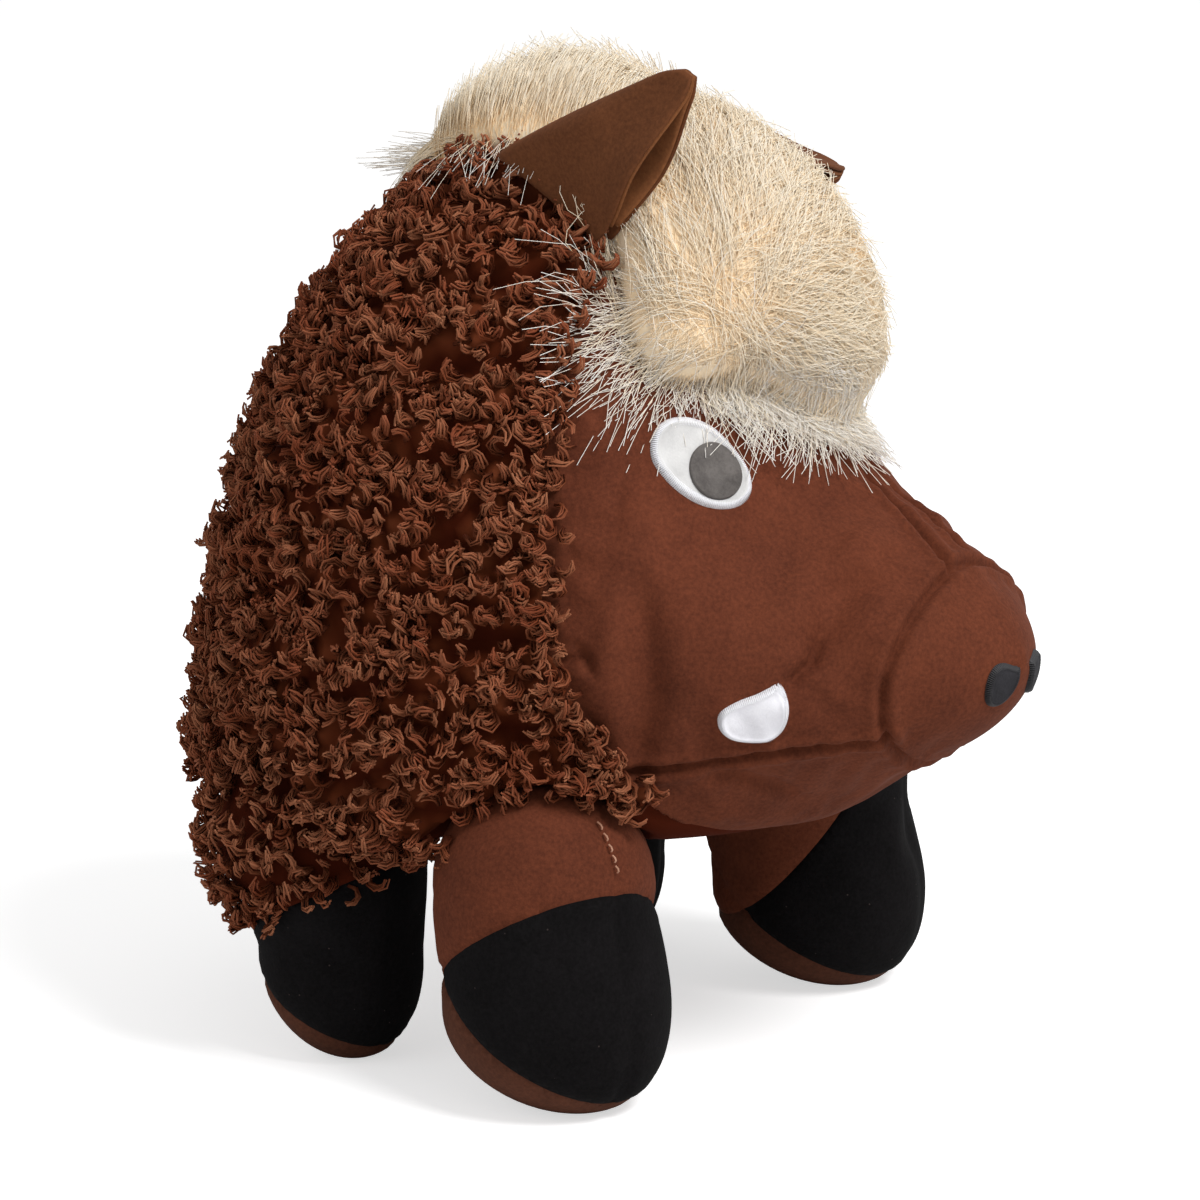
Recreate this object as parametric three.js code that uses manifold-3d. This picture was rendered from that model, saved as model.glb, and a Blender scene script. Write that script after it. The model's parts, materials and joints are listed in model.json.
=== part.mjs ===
// Plush warthog dog toy, standing on four short legs.
// Millimetres. +X points to the nose, +Y to the toy's left and +Z up.
// The origin is on the floor, at the middle of the toy's box.
import * as THREE from 'three';
import { mergeVertices } from 'three/addons/utils/BufferGeometryUtils.js';
import Module from 'manifold-3d';

const wasm = await Module();
wasm.setup();

// Cloth, seams and clearances
const FLEECE_THICKNESS = 6;
const VELOUR_THICKNESS = 2;
const PATCH_THICKNESS = 1.2;
const PUPIL_THICKNESS = 0.8;
const SEAM_GAP = 0.3;
const LAYER_GAP = 0.3;
const HIP_CLEARANCE = 0.8;
const EAR_CLEARANCE = 0.5;

// Body: a leaning dome with a flat belly
const TORSO_CENTRE_X = -19.5;
const TORSO_HALF_LENGTH = 93;
const TORSO_HALF_WIDTH = 95;
const TORSO_LEAN = 0.09;
const WAIST_Z = 80;
const DOME_HEIGHT = 168;
const DOME_POWER = 2.2;
const BELLY_DEPTH = 22;
const BELLY_POWER = 3;

// Snout: a cone that leaves the body forwards and ends in a rounded nose
const SNOUT_AXIS_Z = 117;
const SNOUT_APEX_X = 165;
const SNOUT_HEIGHT_SLOPE = 0.545;
const SNOUT_WIDTH_SLOPE = 0.7;
const SNOUT_FULL_REACH = 103;
const SNOUT_ROOT_X = 0;
const SNOUT_REACH_BLEND = 16;
const SNOUT_CREST_POWER = 1.7;
const NOSE_X = 135.5;
const NOSE_LEAN = 0.12;
const NOSE_ROUNDING = 30;
const NECK_BLEND = 18;
const CORE_X = 12;

// Where the face cloth meets the fleece and how the face is cut into panels
const FACE_CROWN_X = 21;
const FACE_CROWN_Z = 240;
const FACE_CHEEK_X = 29;
const FACE_CHEEK_Z = 140;
const FACE_BEND_FORWARD = 3;
const FACE_BEND_DROP = 35;
const FACE_THROAT_X = 74;
const FACE_THROAT_Z = 58;
const MOUTH_DROP = 19.3;
const MOUTH_Z = SNOUT_AXIS_Z - MOUTH_DROP;
const MOUTH_SLOPE = 0.16;
const NOSE_SEAM_X = 107.5;
const NOSE_SEAM_LEAN = 0.13;
const BRIDGE_HALF_WIDTH = 8;
const BELLY_SEAM_Z = 66;

// Fleece: rows of tufts that stand out as low ridges around the body
const ROWS_FROM_Z = 72;
const ROW_PITCH = 21;
const ROW_COUNT = 7;
const ROW_DEPTH = 3.8;

// Eyes, tusks and nostrils, sewn on the face
const EYE_Y = 42.5;
const EYE_Z = 169.5;
const EYE_LONG_RADIUS = 14.6;
const EYE_SHORT_RADIUS = 9.8;
const EYE_TILT = 36;
const PUPIL_RADIUS = 7.7;
const PUPIL_FORWARD = 4;
const TUSK_X = 82;
const TUSK_Z = SNOUT_AXIS_Z - 10.4;
const TUSK_HALF_WIDTH = 8.7;
const TUSK_HALF_HEIGHT = 8.2;
const NOSTRIL_Y = 9.6;
const NOSTRIL_Z = SNOUT_AXIS_Z - 5.7;
const NOSTRIL_HALF_WIDTH = 5.6;
const NOSTRIL_HALF_HEIGHT = 5.4;

// Legs: a round hip, a sleeve, a hoof and a sole that lifts at the heel
const FRONT_LEG = {
  hipX: 25, hipY: 67.5, hipZ: 58, hipRadius: 29,
  hoofX: 29.5, hoofY: 68.5, hoofZ: 26, hoofRadius: 29.8, toeShift: 7,
  seamZ: 45, seamSlope: 0.5, seamRoll: 0,
  soleZ: 6.5, soleSlope: -0.27, sleeveThickness: VELOUR_THICKNESS,
};
// The left front hoof is sewn on with a twist: its seam rises forwards and outwards
const FRONT_LEFT_LEG = { ...FRONT_LEG, seamZ: 54.8, seamSlope: 0.86, seamRoll: 0.85 };
const REAR_LEG = {
  hipX: -49, hipY: 65, hipZ: 60, hipRadius: 30,
  hoofX: -43, hoofY: 62, hoofZ: 28, hoofRadius: 22, toeShift: 4,
  seamZ: 46, seamSlope: 0.5, seamRoll: 0,
  soleZ: 5.5, soleSlope: -0.27, sleeveThickness: FLEECE_THICKNESS,
};
const HOOF_POWER = 2.1;
const FLOOR_CUT = 0.5;

// Ears: a folded leaf on a rolled root
const EAR_X = 10.7;
const EAR_Y = 37;
const EAR_RISE = 1.5;
const EAR_ROOT_RADIUS = 4;
const EAR_ROOT_LENGTH = 40;
const EAR_HEIGHT = 50;
const EAR_TIP_WIDTH = 6;
const EAR_PINCH_HALF_GAP = 2;
const EAR_HALF_GAP = 6;
const EAR_TIP_HALF_GAP = 2.4;
const EAR_FULL_SHARE = 0.42;
const EAR_TOE_OUT = 12;
const EAR_PITCH = 27;
const EAR_CLOTH = 1.3;
const EAR_SKEW = 22;
const RIGHT_EAR_DROOP = -5;
const LEFT_EAR_DROOP = 88;

// Mane: long pile from the forehead over the crown to the nape, in two tufts
const FORELOCK = {
  fromAngle: 43.5, toAngle: 79, fromFullness: 0.35, toFullness: 0.7, halfSpread: 30, height: 15.5,
};
const CREST = {
  fromAngle: 79.5, toAngle: 116, fromFullness: 0.9, toFullness: 0.9, halfSpread: 12, height: 20,
};

// Squeaker: a blow-moulded bulb with a reed plug in its neck
const SQUEAKER_X = -14;
const SQUEAKER_Z = 120;
const BULB_RADIUS = 18;
const BULB_HALF_LENGTH = 15;
const BULB_NECK_RADIUS = 7;
const BULB_NECK_LENGTH = 6;
const BULB_WALL = 1.2;
const PLUG_FLANGE_RADIUS = 6.6;
const PLUG_FLANGE_THICKNESS = 1.6;
const PLUG_LENGTH = 9;
const PLUG_BORE_RADIUS = 2;

// Facets
const BODY_RINGS = 18;
const BODY_SIDES = 30;
const LEG_SIDES = 14;
const ROW_SIDES = 36;
const FAR = 500;

const Y_AXIS = new THREE.Vector3(0, 1, 0);
const Z_AXIS = new THREE.Vector3(0, 0, 1);
const degrees = THREE.MathUtils.degToRad;
const smooth = THREE.MathUtils.smoothstep;

// Solids

/** Turn a closed geometry into a solid for cutting and joining. */
function solidOf(geometry) {
  const bare = geometry.clone();
  bare.deleteAttribute('normal');
  bare.deleteAttribute('uv');
  const merged = mergeVertices(bare, 1e-4);
  return new wasm.Manifold(new wasm.Mesh({
    numProp: 3,
    vertProperties: new Float32Array(merged.attributes.position.array),
    triVerts: new Uint32Array(merged.index.array),
  }));
}

/** Turn a solid back into a geometry with normals. */
function geometryOf(solid) {
  const { vertProperties, triVerts } = solid.getMesh();
  const geometry = new THREE.BufferGeometry();
  geometry.setAttribute('position', new THREE.BufferAttribute(new Float32Array(vertProperties), 3));
  geometry.setIndex(new THREE.BufferAttribute(new Uint32Array(triVerts), 1));
  geometry.computeVertexNormals();
  return geometry;
}

/** Close a stack of rings of points with a point at each end. */
function loft(start, rings, end) {
  const sides = rings[0].length;
  const points = [start, ...rings.flat(), end];
  const index = [];
  const at = (ring, side) => 1 + ring * sides + (side % sides);
  for (let side = 0; side < sides; side += 1) {
    index.push(0, at(0, side + 1), at(0, side));
    for (let ring = 0; ring + 1 < rings.length; ring += 1) {
      index.push(at(ring, side), at(ring, side + 1), at(ring + 1, side));
      index.push(at(ring, side + 1), at(ring + 1, side + 1), at(ring + 1, side));
    }
    index.push(points.length - 1, at(rings.length - 1, side), at(rings.length - 1, side + 1));
  }
  const geometry = new THREE.BufferGeometry().setFromPoints(points);
  geometry.setIndex(index);
  return geometry;
}

/** Everything on the side of a plane that its normal points to. */
function beyond(point, normal) {
  const block = new THREE.BoxGeometry(2 * FAR, 2 * FAR, FAR);
  block.translate(0, 0, FAR / 2);
  block.applyQuaternion(new THREE.Quaternion().setFromUnitVectors(Z_AXIS, normal.clone().normalize()));
  block.translate(point.x, point.y, point.z);
  return solidOf(block);
}

/** Everything above (or below) a plane that rises along X. */
function beyondSlope(x, z, slope, up) {
  const side = up ? 1 : -1;
  return beyond(new THREE.Vector3(x, 0, z), new THREE.Vector3(-slope * side, 0, side));
}

/** Everything on one side of the toy's middle plane, clear of it by half a seam. */
function besideMiddle(side) {
  return beyond(new THREE.Vector3(0, side * SEAM_GAP / 2, 0), new THREE.Vector3(0, side, 0));
}

// Body form

const smoothMin = (a, b, reach) => {
  const mix = Math.max(reach - Math.abs(a - b), 0) / reach;
  return Math.min(a, b) - mix * mix * reach / 4;
};
const smoothMax = (a, b, reach) => -smoothMin(-a, -b, reach);

/** Distance-like field of the dome: negative inside. */
function torsoField(p) {
  const rise = p.z - WAIST_Z;
  const centreX = TORSO_CENTRE_X + TORSO_LEAN * rise;
  const across = Math.hypot((p.x - centreX) / TORSO_HALF_LENGTH, p.y / TORSO_HALF_WIDTH);
  if (rise >= 0) {
    return (Math.sqrt(across ** 2 + (rise / DOME_HEIGHT) ** DOME_POWER) - 1) * TORSO_HALF_WIDTH;
  }
  const sunk = (-rise / BELLY_DEPTH) ** BELLY_POWER;
  return ((across ** BELLY_POWER + sunk) ** (1 / BELLY_POWER) - 1) * TORSO_HALF_WIDTH;
}

/** Distance-like field of the snout: negative inside. */
function snoutField(p) {
  const rise = (p.z - SNOUT_AXIS_Z) / SNOUT_HEIGHT_SLOPE;
  const power = rise > 0 ? SNOUT_CREST_POWER : 2;
  const section = (Math.abs(p.y / SNOUT_WIDTH_SLOPE) ** power + Math.abs(rise) ** power) ** (1 / power);
  const reach = smoothMin(SNOUT_APEX_X - p.x, SNOUT_FULL_REACH, SNOUT_REACH_BLEND);
  const nose = p.x - NOSE_X + NOSE_LEAN * (p.z - SNOUT_AXIS_Z);
  const cone = smoothMax((section - reach) * SNOUT_HEIGHT_SLOPE, nose, NOSE_ROUNDING);
  return Math.max(cone, SNOUT_ROOT_X - p.x);
}

const bodyField = (p) => smoothMin(torsoField(p), snoutField(p), NECK_BLEND);
const BODY_CORE = new THREE.Vector3(CORE_X, 0, SNOUT_AXIS_Z);

/** The point where a ray from inside the body leaves its surface. */
function surfaceAlong(origin, direction) {
  let near = 0;
  let far = FAR;
  const at = (reach) => origin.clone().addScaledVector(direction, reach);
  while (far - near > 1e-5) {
    const middle = (near + far) / 2;
    if (bodyField(at(middle)) < 0) near = middle;
    else far = middle;
  }
  return at(near);
}

/** The body surface's outward normal. */
function surfaceNormal(p) {
  const step = 0.05;
  const slope = (axis) => {
    const move = new THREE.Vector3().setComponent(axis, step);
    return bodyField(p.clone().add(move)) - bodyField(p.clone().sub(move));
  };
  return new THREE.Vector3(slope(0), slope(1), slope(2)).normalize();
}

/** Surface points and normals on rings around the axis from rump to nose. */
function bodyGrid() {
  const sample = (polar, around) => {
    const direction = new THREE.Vector3(
      Math.cos(polar),
      Math.sin(polar) * Math.cos(around),
      Math.sin(polar) * Math.sin(around),
    );
    const point = surfaceAlong(BODY_CORE, direction);
    return { point, normal: surfaceNormal(point) };
  };
  const crowding = 1.15;
  const rings = [];
  for (let ring = 1; ring < BODY_RINGS; ring += 1) {
    const polar = Math.PI * (1 - ring / BODY_RINGS) ** crowding;
    const sides = [];
    for (let side = 0; side < BODY_SIDES; side += 1) {
      sides.push(sample(polar, (side / BODY_SIDES) * 2 * Math.PI));
    }
    rings.push(sides);
  }
  return { rump: sample(Math.PI, 0), rings, nose: sample(0, 0) };
}

const grid = bodyGrid();
const bodyForms = new Map();

/** The body's outer form, moved out by an offset (in, if negative). */
function bodyForm(offset) {
  if (!bodyForms.has(offset)) {
    const move = ({ point, normal }) => point.clone().addScaledVector(normal, offset);
    const geometry = loft(move(grid.rump), grid.rings.map((ring) => ring.map(move)), move(grid.nose));
    bodyForms.set(offset, solidOf(geometry));
  }
  return bodyForms.get(offset);
}

/** The layer of the body between two offsets. */
const bodyLayer = (inner, outer) => bodyForm(outer).subtract(bodyForm(inner));

/** The hollows between the fleece's rows of tufts. */
function rowHollows() {
  const ringAt = (z, offset) => {
    const ring = [];
    for (let side = 0; side < ROW_SIDES; side += 1) {
      const angle = (side / ROW_SIDES) * 2 * Math.PI;
      const outwards = new THREE.Vector3(Math.cos(angle), Math.sin(angle), 0);
      const point = surfaceAlong(new THREE.Vector3(TORSO_CENTRE_X, 0, z), outwards);
      ring.push(point.addScaledVector(outwards, offset));
    }
    return ring;
  };
  const rings = [];
  for (let half = 0; half <= 2 * ROW_COUNT; half += 1) {
    rings.push(ringAt(ROWS_FROM_Z + (half * ROW_PITCH) / 2, half % 2 ? -ROW_DEPTH : LAYER_GAP));
  }
  const height = ROW_COUNT * ROW_PITCH;
  const ridged = solidOf(loft(
    new THREE.Vector3(TORSO_CENTRE_X, 0, ROWS_FROM_Z),
    rings,
    new THREE.Vector3(TORSO_CENTRE_X, 0, ROWS_FROM_Z + height),
  ));
  const slab = new THREE.BoxGeometry(2 * FAR, 2 * FAR, height);
  return solidOf(slab.translate(0, 0, ROWS_FROM_Z + height / 2)).subtract(ridged);
}

const CLOTH_INSIDE = -FLEECE_THICKNESS;
const FACE_OUTSIDE = CLOTH_INSIDE + VELOUR_THICKNESS;
const STUFFING_OUTSIDE = CLOTH_INSIDE - LAYER_GAP;

/** The space of the face: ahead of its seam with the fleece, seen from the side. */
function faceSpace(growth) {
  const outline = new THREE.Shape()
    .moveTo(FACE_CROWN_X, FAR)
    .lineTo(FACE_CROWN_X, FACE_CROWN_Z)
    .lineTo(FACE_CHEEK_X, FACE_CHEEK_Z)
    .quadraticCurveTo(
      FACE_CHEEK_X + FACE_BEND_FORWARD, FACE_CHEEK_Z - FACE_BEND_DROP, FACE_THROAT_X, FACE_THROAT_Z,
    )
    .lineTo(FACE_THROAT_X, -FAR)
    .lineTo(FAR, -FAR)
    .lineTo(FAR, FAR);
  const extrusion = { depth: 2 * FAR, bevelEnabled: false, curveSegments: 10 };
  const block = new THREE.ExtrudeGeometry(outline, extrusion);
  block.translate(0, 0, -FAR);
  block.rotateX(Math.PI / 2);
  block.translate(-growth, 0, -growth / 2);
  return facingOut(mergeVertices(block));
}

// Legs

/** Radius and centre of a leg at a height below its hip. */
function legSection(leg, z, offset) {
  const bottom = -FLOOR_CUT - offset;
  if (z < leg.hoofZ) {
    const sunk = (leg.hoofZ - z) / (leg.hoofZ - bottom);
    const radius = (leg.hoofRadius + offset) * (1 - sunk ** HOOF_POWER) ** (1 / HOOF_POWER);
    return { radius, x: leg.hoofX + leg.toeShift * sunk ** 2, y: leg.hoofY };
  }
  const mix = THREE.MathUtils.smoothstep(z, leg.hoofZ, leg.hipZ);
  return {
    radius: THREE.MathUtils.lerp(leg.hoofRadius, leg.hipRadius, mix) + offset,
    x: THREE.MathUtils.lerp(leg.hoofX, leg.hipX, mix),
    y: THREE.MathUtils.lerp(leg.hoofY, leg.hipY, mix),
  };
}

/** A leg's form on one side of the toy, moved out by an offset. */
function legForm(leg, side, offset) {
  const ringAt = ({ radius, x, y }, z) => {
    const ring = [];
    for (let i = 0; i < LEG_SIDES; i += 1) {
      const angle = (i / LEG_SIDES) * 2 * Math.PI;
      ring.push(new THREE.Vector3(
        x + radius * Math.cos(angle), side * y + radius * Math.sin(angle), z,
      ));
    }
    return ring;
  };
  const floor = Math.max(0, -offset);
  const lowRings = [0, 0.08, 0.28, 0.6, 1].map((share) => floor + share * (leg.hoofZ - floor));
  const highRings = [0.5, 1].map((share) => THREE.MathUtils.lerp(leg.hoofZ, leg.hipZ, share));
  const rings = [...lowRings, ...highRings].map((z) => ringAt(legSection(leg, z, offset), z));
  const hipRadius = leg.hipRadius + offset;
  for (const latitude of [30, 60]) {
    const radius = hipRadius * Math.cos(degrees(latitude));
    const z = leg.hipZ + hipRadius * Math.sin(degrees(latitude));
    rings.push(ringAt({ radius, x: leg.hipX, y: leg.hipY }, z));
  }
  const foot = legSection(leg, floor, offset);
  return solidOf(loft(
    new THREE.Vector3(foot.x, side * foot.y, floor),
    rings,
    new THREE.Vector3(leg.hipX, side * leg.hipY, leg.hipZ + hipRadius),
  ));
}

/** The room that a hip needs in the body to swing fore and aft. */
function hipSocket(leg, side) {
  const radius = leg.hipRadius + HIP_CLEARANCE;
  const flare = radius + FAR / 10;
  const profile = [new THREE.Vector2(0, -FAR / 5), new THREE.Vector2(flare, -FAR / 5)];
  for (let latitude = 0; latitude <= 90; latitude += 15) {
    const angle = degrees(latitude);
    profile.push(new THREE.Vector2(latitude === 90 ? 0 : radius * Math.cos(angle), radius * Math.sin(angle)));
  }
  const socket = new THREE.LatheGeometry(profile, 20);
  socket.rotateX(Math.PI / 2);
  socket.translate(leg.hipX, side * leg.hipY, leg.hipZ);
  return solidOf(socket);
}

// Ears

/** The ear's own axes: along its root, outwards and up its leaf. */
function earAxes(side, droop) {
  const yaw = degrees(EAR_TOE_OUT);
  const pitch = degrees(EAR_PITCH);
  const along = new THREE.Vector3(
    Math.cos(pitch) * Math.cos(yaw), side * Math.cos(pitch) * Math.sin(yaw), -Math.sin(pitch),
  );
  const out = new THREE.Vector3(-Math.sin(yaw), side * Math.cos(yaw), 0);
  const up = new THREE.Vector3().crossVectors(along, out).multiplyScalar(side);
  out.applyAxisAngle(along, -side * degrees(droop));
  up.applyAxisAngle(along, -side * degrees(droop));
  return { along, out, up };
}

/** The middle of the ear's root, just above the fleece. */
function earSeat(side) {
  const inside = new THREE.Vector3(EAR_X, side * EAR_Y, SNOUT_AXIS_Z);
  const seat = surfaceAlong(inside, Z_AXIS);
  return seat.addScaledVector(surfaceNormal(seat), EAR_RISE);
}

/** One layer of the ear's folded leaf: a hairpin section that narrows to the tip. */
function earLayer(place, inner, outer, startHeight) {
  const bends = 4;
  const rings = [];
  const heights = 6;
  for (let step = 0; step <= heights; step += 1) {
    const height = THREE.MathUtils.lerp(startHeight, EAR_HEIGHT, step / heights);
    const share = height / EAR_HEIGHT;
    const width = THREE.MathUtils.lerp(EAR_ROOT_LENGTH, EAR_TIP_WIDTH, share ** 1.15);
    const halfGap = share < EAR_FULL_SHARE
      ? THREE.MathUtils.lerp(EAR_PINCH_HALF_GAP, EAR_HALF_GAP, smooth(share, 0, EAR_FULL_SHARE))
      : THREE.MathUtils.lerp(EAR_HALF_GAP, EAR_TIP_HALF_GAP, smooth(share, EAR_FULL_SHARE, 1));
    const front = EAR_SKEW * share + width / 2;
    const spine = EAR_SKEW * share - width / 2 + halfGap;
    const side = (reach) => {
      const line = [[front, reach]];
      for (let bend = 0; bend <= bends; bend += 1) {
        const angle = Math.PI / 2 + (bend / bends) * Math.PI;
        line.push([spine + reach * Math.cos(angle), reach * Math.sin(angle)]);
      }
      line.push([front, -reach]);
      return line;
    };
    const section = [...side(halfGap + outer), ...side(halfGap + inner).reverse()];
    rings.push(section.map(([along, out]) => place(along, out, height)));
  }
  return hairpinLoft(rings);
}

/** Skin a stack of hairpin sections and close both ends with strips. */
function hairpinLoft(rings) {
  const count = rings[0].length;
  const index = [];
  const at = (ring, point) => ring * count + (point % count);
  const last = rings.length - 1;
  for (let ring = 0; ring < last; ring += 1) {
    for (let point = 0; point < count; point += 1) {
      index.push(at(ring, point), at(ring, point + 1), at(ring + 1, point));
      index.push(at(ring, point + 1), at(ring + 1, point + 1), at(ring + 1, point));
    }
  }
  for (let point = 0; point + 1 < count / 2; point += 1) {
    const mirror = count - 1 - point;
    index.push(at(0, point), at(0, mirror), at(0, point + 1));
    index.push(at(0, point + 1), at(0, mirror), at(0, mirror - 1));
    index.push(at(last, point), at(last, point + 1), at(last, mirror));
    index.push(at(last, point + 1), at(last, mirror - 1), at(last, mirror));
  }
  const geometry = new THREE.BufferGeometry().setFromPoints(rings.flat());
  geometry.setIndex(index);
  return facingOut(geometry);
}

/** A closed geometry with its faces turned to point outwards. */
function facingOut(geometry) {
  const solid = solidOf(geometry);
  if (solid.volume() > 0) return solid;
  const index = Array.from(geometry.index.array);
  for (let i = 0; i < index.length; i += 3) [index[i], index[i + 1]] = [index[i + 1], index[i]];
  geometry.setIndex(index);
  return solidOf(geometry);
}

/** A round bar along the ear's root. */
function earRoot(side, radius, extraLength) {
  const bar = new THREE.CylinderGeometry(radius, radius, EAR_ROOT_LENGTH + extraLength, 12);
  bar.applyQuaternion(new THREE.Quaternion().setFromUnitVectors(Y_AXIS, earAxes(side, 0).along));
  const seat = earSeat(side);
  bar.translate(seat.x, seat.y, seat.z);
  return solidOf(bar);
}

/** An ear's outer cloth with its root, and its lining. */
function ear(side, droop) {
  const seat = earSeat(side);
  const { along, out, up } = earAxes(side, droop);
  const place = (a, o, u) => seat.clone()
    .addScaledVector(along, a).addScaledVector(out, o).addScaledVector(up, u);
  const outerCloth = earLayer(place, 0, EAR_CLOTH, 0);
  const lining = earLayer(place, -LAYER_GAP - EAR_CLOTH, -LAYER_GAP, EAR_ROOT_RADIUS + LAYER_GAP);
  const root = earRoot(side, EAR_ROOT_RADIUS, 0);
  return { outer: outerCloth.add(root), lining };
}

// Mane

/** A swelling tuft of pile over the body's middle, between two angles at its core. */
function tuft({ fromAngle, toAngle, fromFullness, toFullness, halfSpread, height }) {
  const steps = 8;
  const columns = 8;
  const rings = [];
  for (let step = 0; step <= steps; step += 1) {
    const share = step / steps;
    const angle = degrees(THREE.MathUtils.lerp(fromAngle, toAngle, share));
    const ends = THREE.MathUtils.lerp(fromFullness, toFullness, share);
    const fullness = THREE.MathUtils.lerp(ends, 1, Math.sin(Math.PI * share) ** 0.8);
    const outer = [];
    const inner = [];
    for (let column = 0; column <= columns; column += 1) {
      const place = (2 * column) / columns - 1;
      const aside = degrees(halfSpread * fullness * place);
      const direction = new THREE.Vector3(
        Math.cos(angle) * Math.cos(aside), Math.sin(aside), Math.sin(angle) * Math.cos(aside),
      );
      const base = surfaceAlong(BODY_CORE, direction);
      const normal = surfaceNormal(base);
      const rise = height * fullness * Math.sqrt(1 - place ** 2);
      outer.push(base.clone().addScaledVector(normal, rise));
      inner.push(base.clone().addScaledVector(normal, -2 * FLEECE_THICKNESS));
    }
    rings.push([...outer, ...inner.reverse()]);
  }
  return hairpinLoft(rings);
}

// Patches on the face

/** A patch outline pushed through the body's surface; its +X runs forwards or to the middle. */
function patchPrism(side, shape, point, tilt) {
  const depth = 24;
  const prism = new THREE.ExtrudeGeometry(shape, { depth, bevelEnabled: false, curveSegments: 6 });
  prism.translate(0, 0, -depth / 2);
  prism.rotateZ(degrees(tilt));
  const normal = surfaceNormal(point);
  const upward = Z_AXIS.clone().projectOnPlane(normal).normalize();
  const forward = new THREE.Vector3().crossVectors(upward, normal).multiplyScalar(-side);
  prism.applyMatrix4(new THREE.Matrix4().makeBasis(forward, upward, normal).setPosition(point));
  return facingOut(prism.index ? prism : mergeVertices(prism));
}

/** The part of a layer on the face that lies inside a patch outline. */
const patch = (prism, inner, outer) => (
  bodyLayer(FACE_OUTSIDE + inner, FACE_OUTSIDE + outer).intersect(prism)
);

/** An ellipse. */
const ellipse = (x, y, radiusX, radiusY) => (
  new THREE.Shape().absellipse(x, y, radiusX, radiusY, 0, 2 * Math.PI)
);

/** A rounded tusk with one pointed corner, at its upper front. */
function tuskShape() {
  const w = TUSK_HALF_WIDTH;
  const h = TUSK_HALF_HEIGHT;
  return new THREE.Shape()
    .moveTo(0.67 * w, h)
    .bezierCurveTo(1.1 * w, 0.6 * h, 1.15 * w, -0.75 * h, 0.35 * w, -0.95 * h)
    .bezierCurveTo(-0.25 * w, -1.08 * h, -w, -0.85 * h, -w, -0.1 * h)
    .bezierCurveTo(-w, 0.35 * h, -0.4 * w, 0.35 * h, 0.67 * w, h);
}

/** A teardrop nostril with its point towards the middle of the nose. */
function nostrilShape() {
  const w = NOSTRIL_HALF_WIDTH;
  const h = NOSTRIL_HALF_HEIGHT;
  return new THREE.Shape()
    .moveTo(w, 0.7 * h)
    .bezierCurveTo(0.95 * w, -0.3 * h, 0.4 * w, -h, -0.2 * w, -h)
    .bezierCurveTo(-1.15 * w, -h, -1.15 * w, h, -0.1 * w, h)
    .bezierCurveTo(0.35 * w, h, 0.6 * w, 0.7 * h, w, 0.7 * h);
}

// Materials

const cloth = (color, roughness) => new THREE.MeshStandardMaterial({ color, roughness, metalness: 0 });
const FINISH = {
  fleece: () => cloth('#492315', 1),
  velour: () => cloth('#6c3b28', 0.9),
  hoof: () => cloth('#161316', 0.95),
  sole: () => cloth('#523527', 0.95),
  lining: () => cloth('#815231', 0.9),
  mane: () => cloth('#e6d0b2', 0.85),
  white: () => cloth('#e9e9ee', 0.8),
  dark: () => cloth('#38373a', 0.85),
  stuffing: () => cloth('#f2f2ee', 1),
  bulb: () => cloth('#e8e6dd', 0.45),
  plug: () => cloth('#d9d9d9', 0.4),
};

/** A named mesh of one sub-part. */
function piece(name, solid, finish) {
  const mesh = new THREE.Mesh(geometryOf(solid), FINISH[finish]());
  mesh.name = name;
  return mesh;
}

/** A group of meshes. */
const group = (...members) => new THREE.Group().add(...members);

// Assembly

const SIDES = [['right', -1], ['left', 1]];
const sockets = SIDES.flatMap(([, side]) => [hipSocket(FRONT_LEG, side), hipSocket(REAR_LEG, side)]);
const earGrooves = SIDES.map(([, side]) => earRoot(side, EAR_ROOT_RADIUS + EAR_CLEARANCE, 2 * EAR_CLEARANCE));
const clearances = [...sockets, ...earGrooves];
const cleared = (solid) => clearances.reduce((rest, cutter) => rest.subtract(cutter), solid);

/** Fleece flanks, joined along the back, and the belly between the legs. */
function coat() {
  const layer = bodyLayer(CLOTH_INSIDE, 0).subtract(rowHollows());
  const shell = cleared(layer.subtract(faceSpace(SEAM_GAP / 2)));
  const aboveBelly = beyondSlope(0, BELLY_SEAM_Z + SEAM_GAP / 2, 0, true);
  const belly = shell.intersect(beyondSlope(0, BELLY_SEAM_Z - SEAM_GAP / 2, 0, false));
  const flanks = shell.intersect(aboveBelly);
  const flank = ([name, side]) => (
    piece(`fleece_panel_${name}`, flanks.intersect(besideMiddle(side)), 'fleece')
  );
  return group(...SIDES.map(flank), piece('belly_panel', belly, 'velour'));
}

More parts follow.
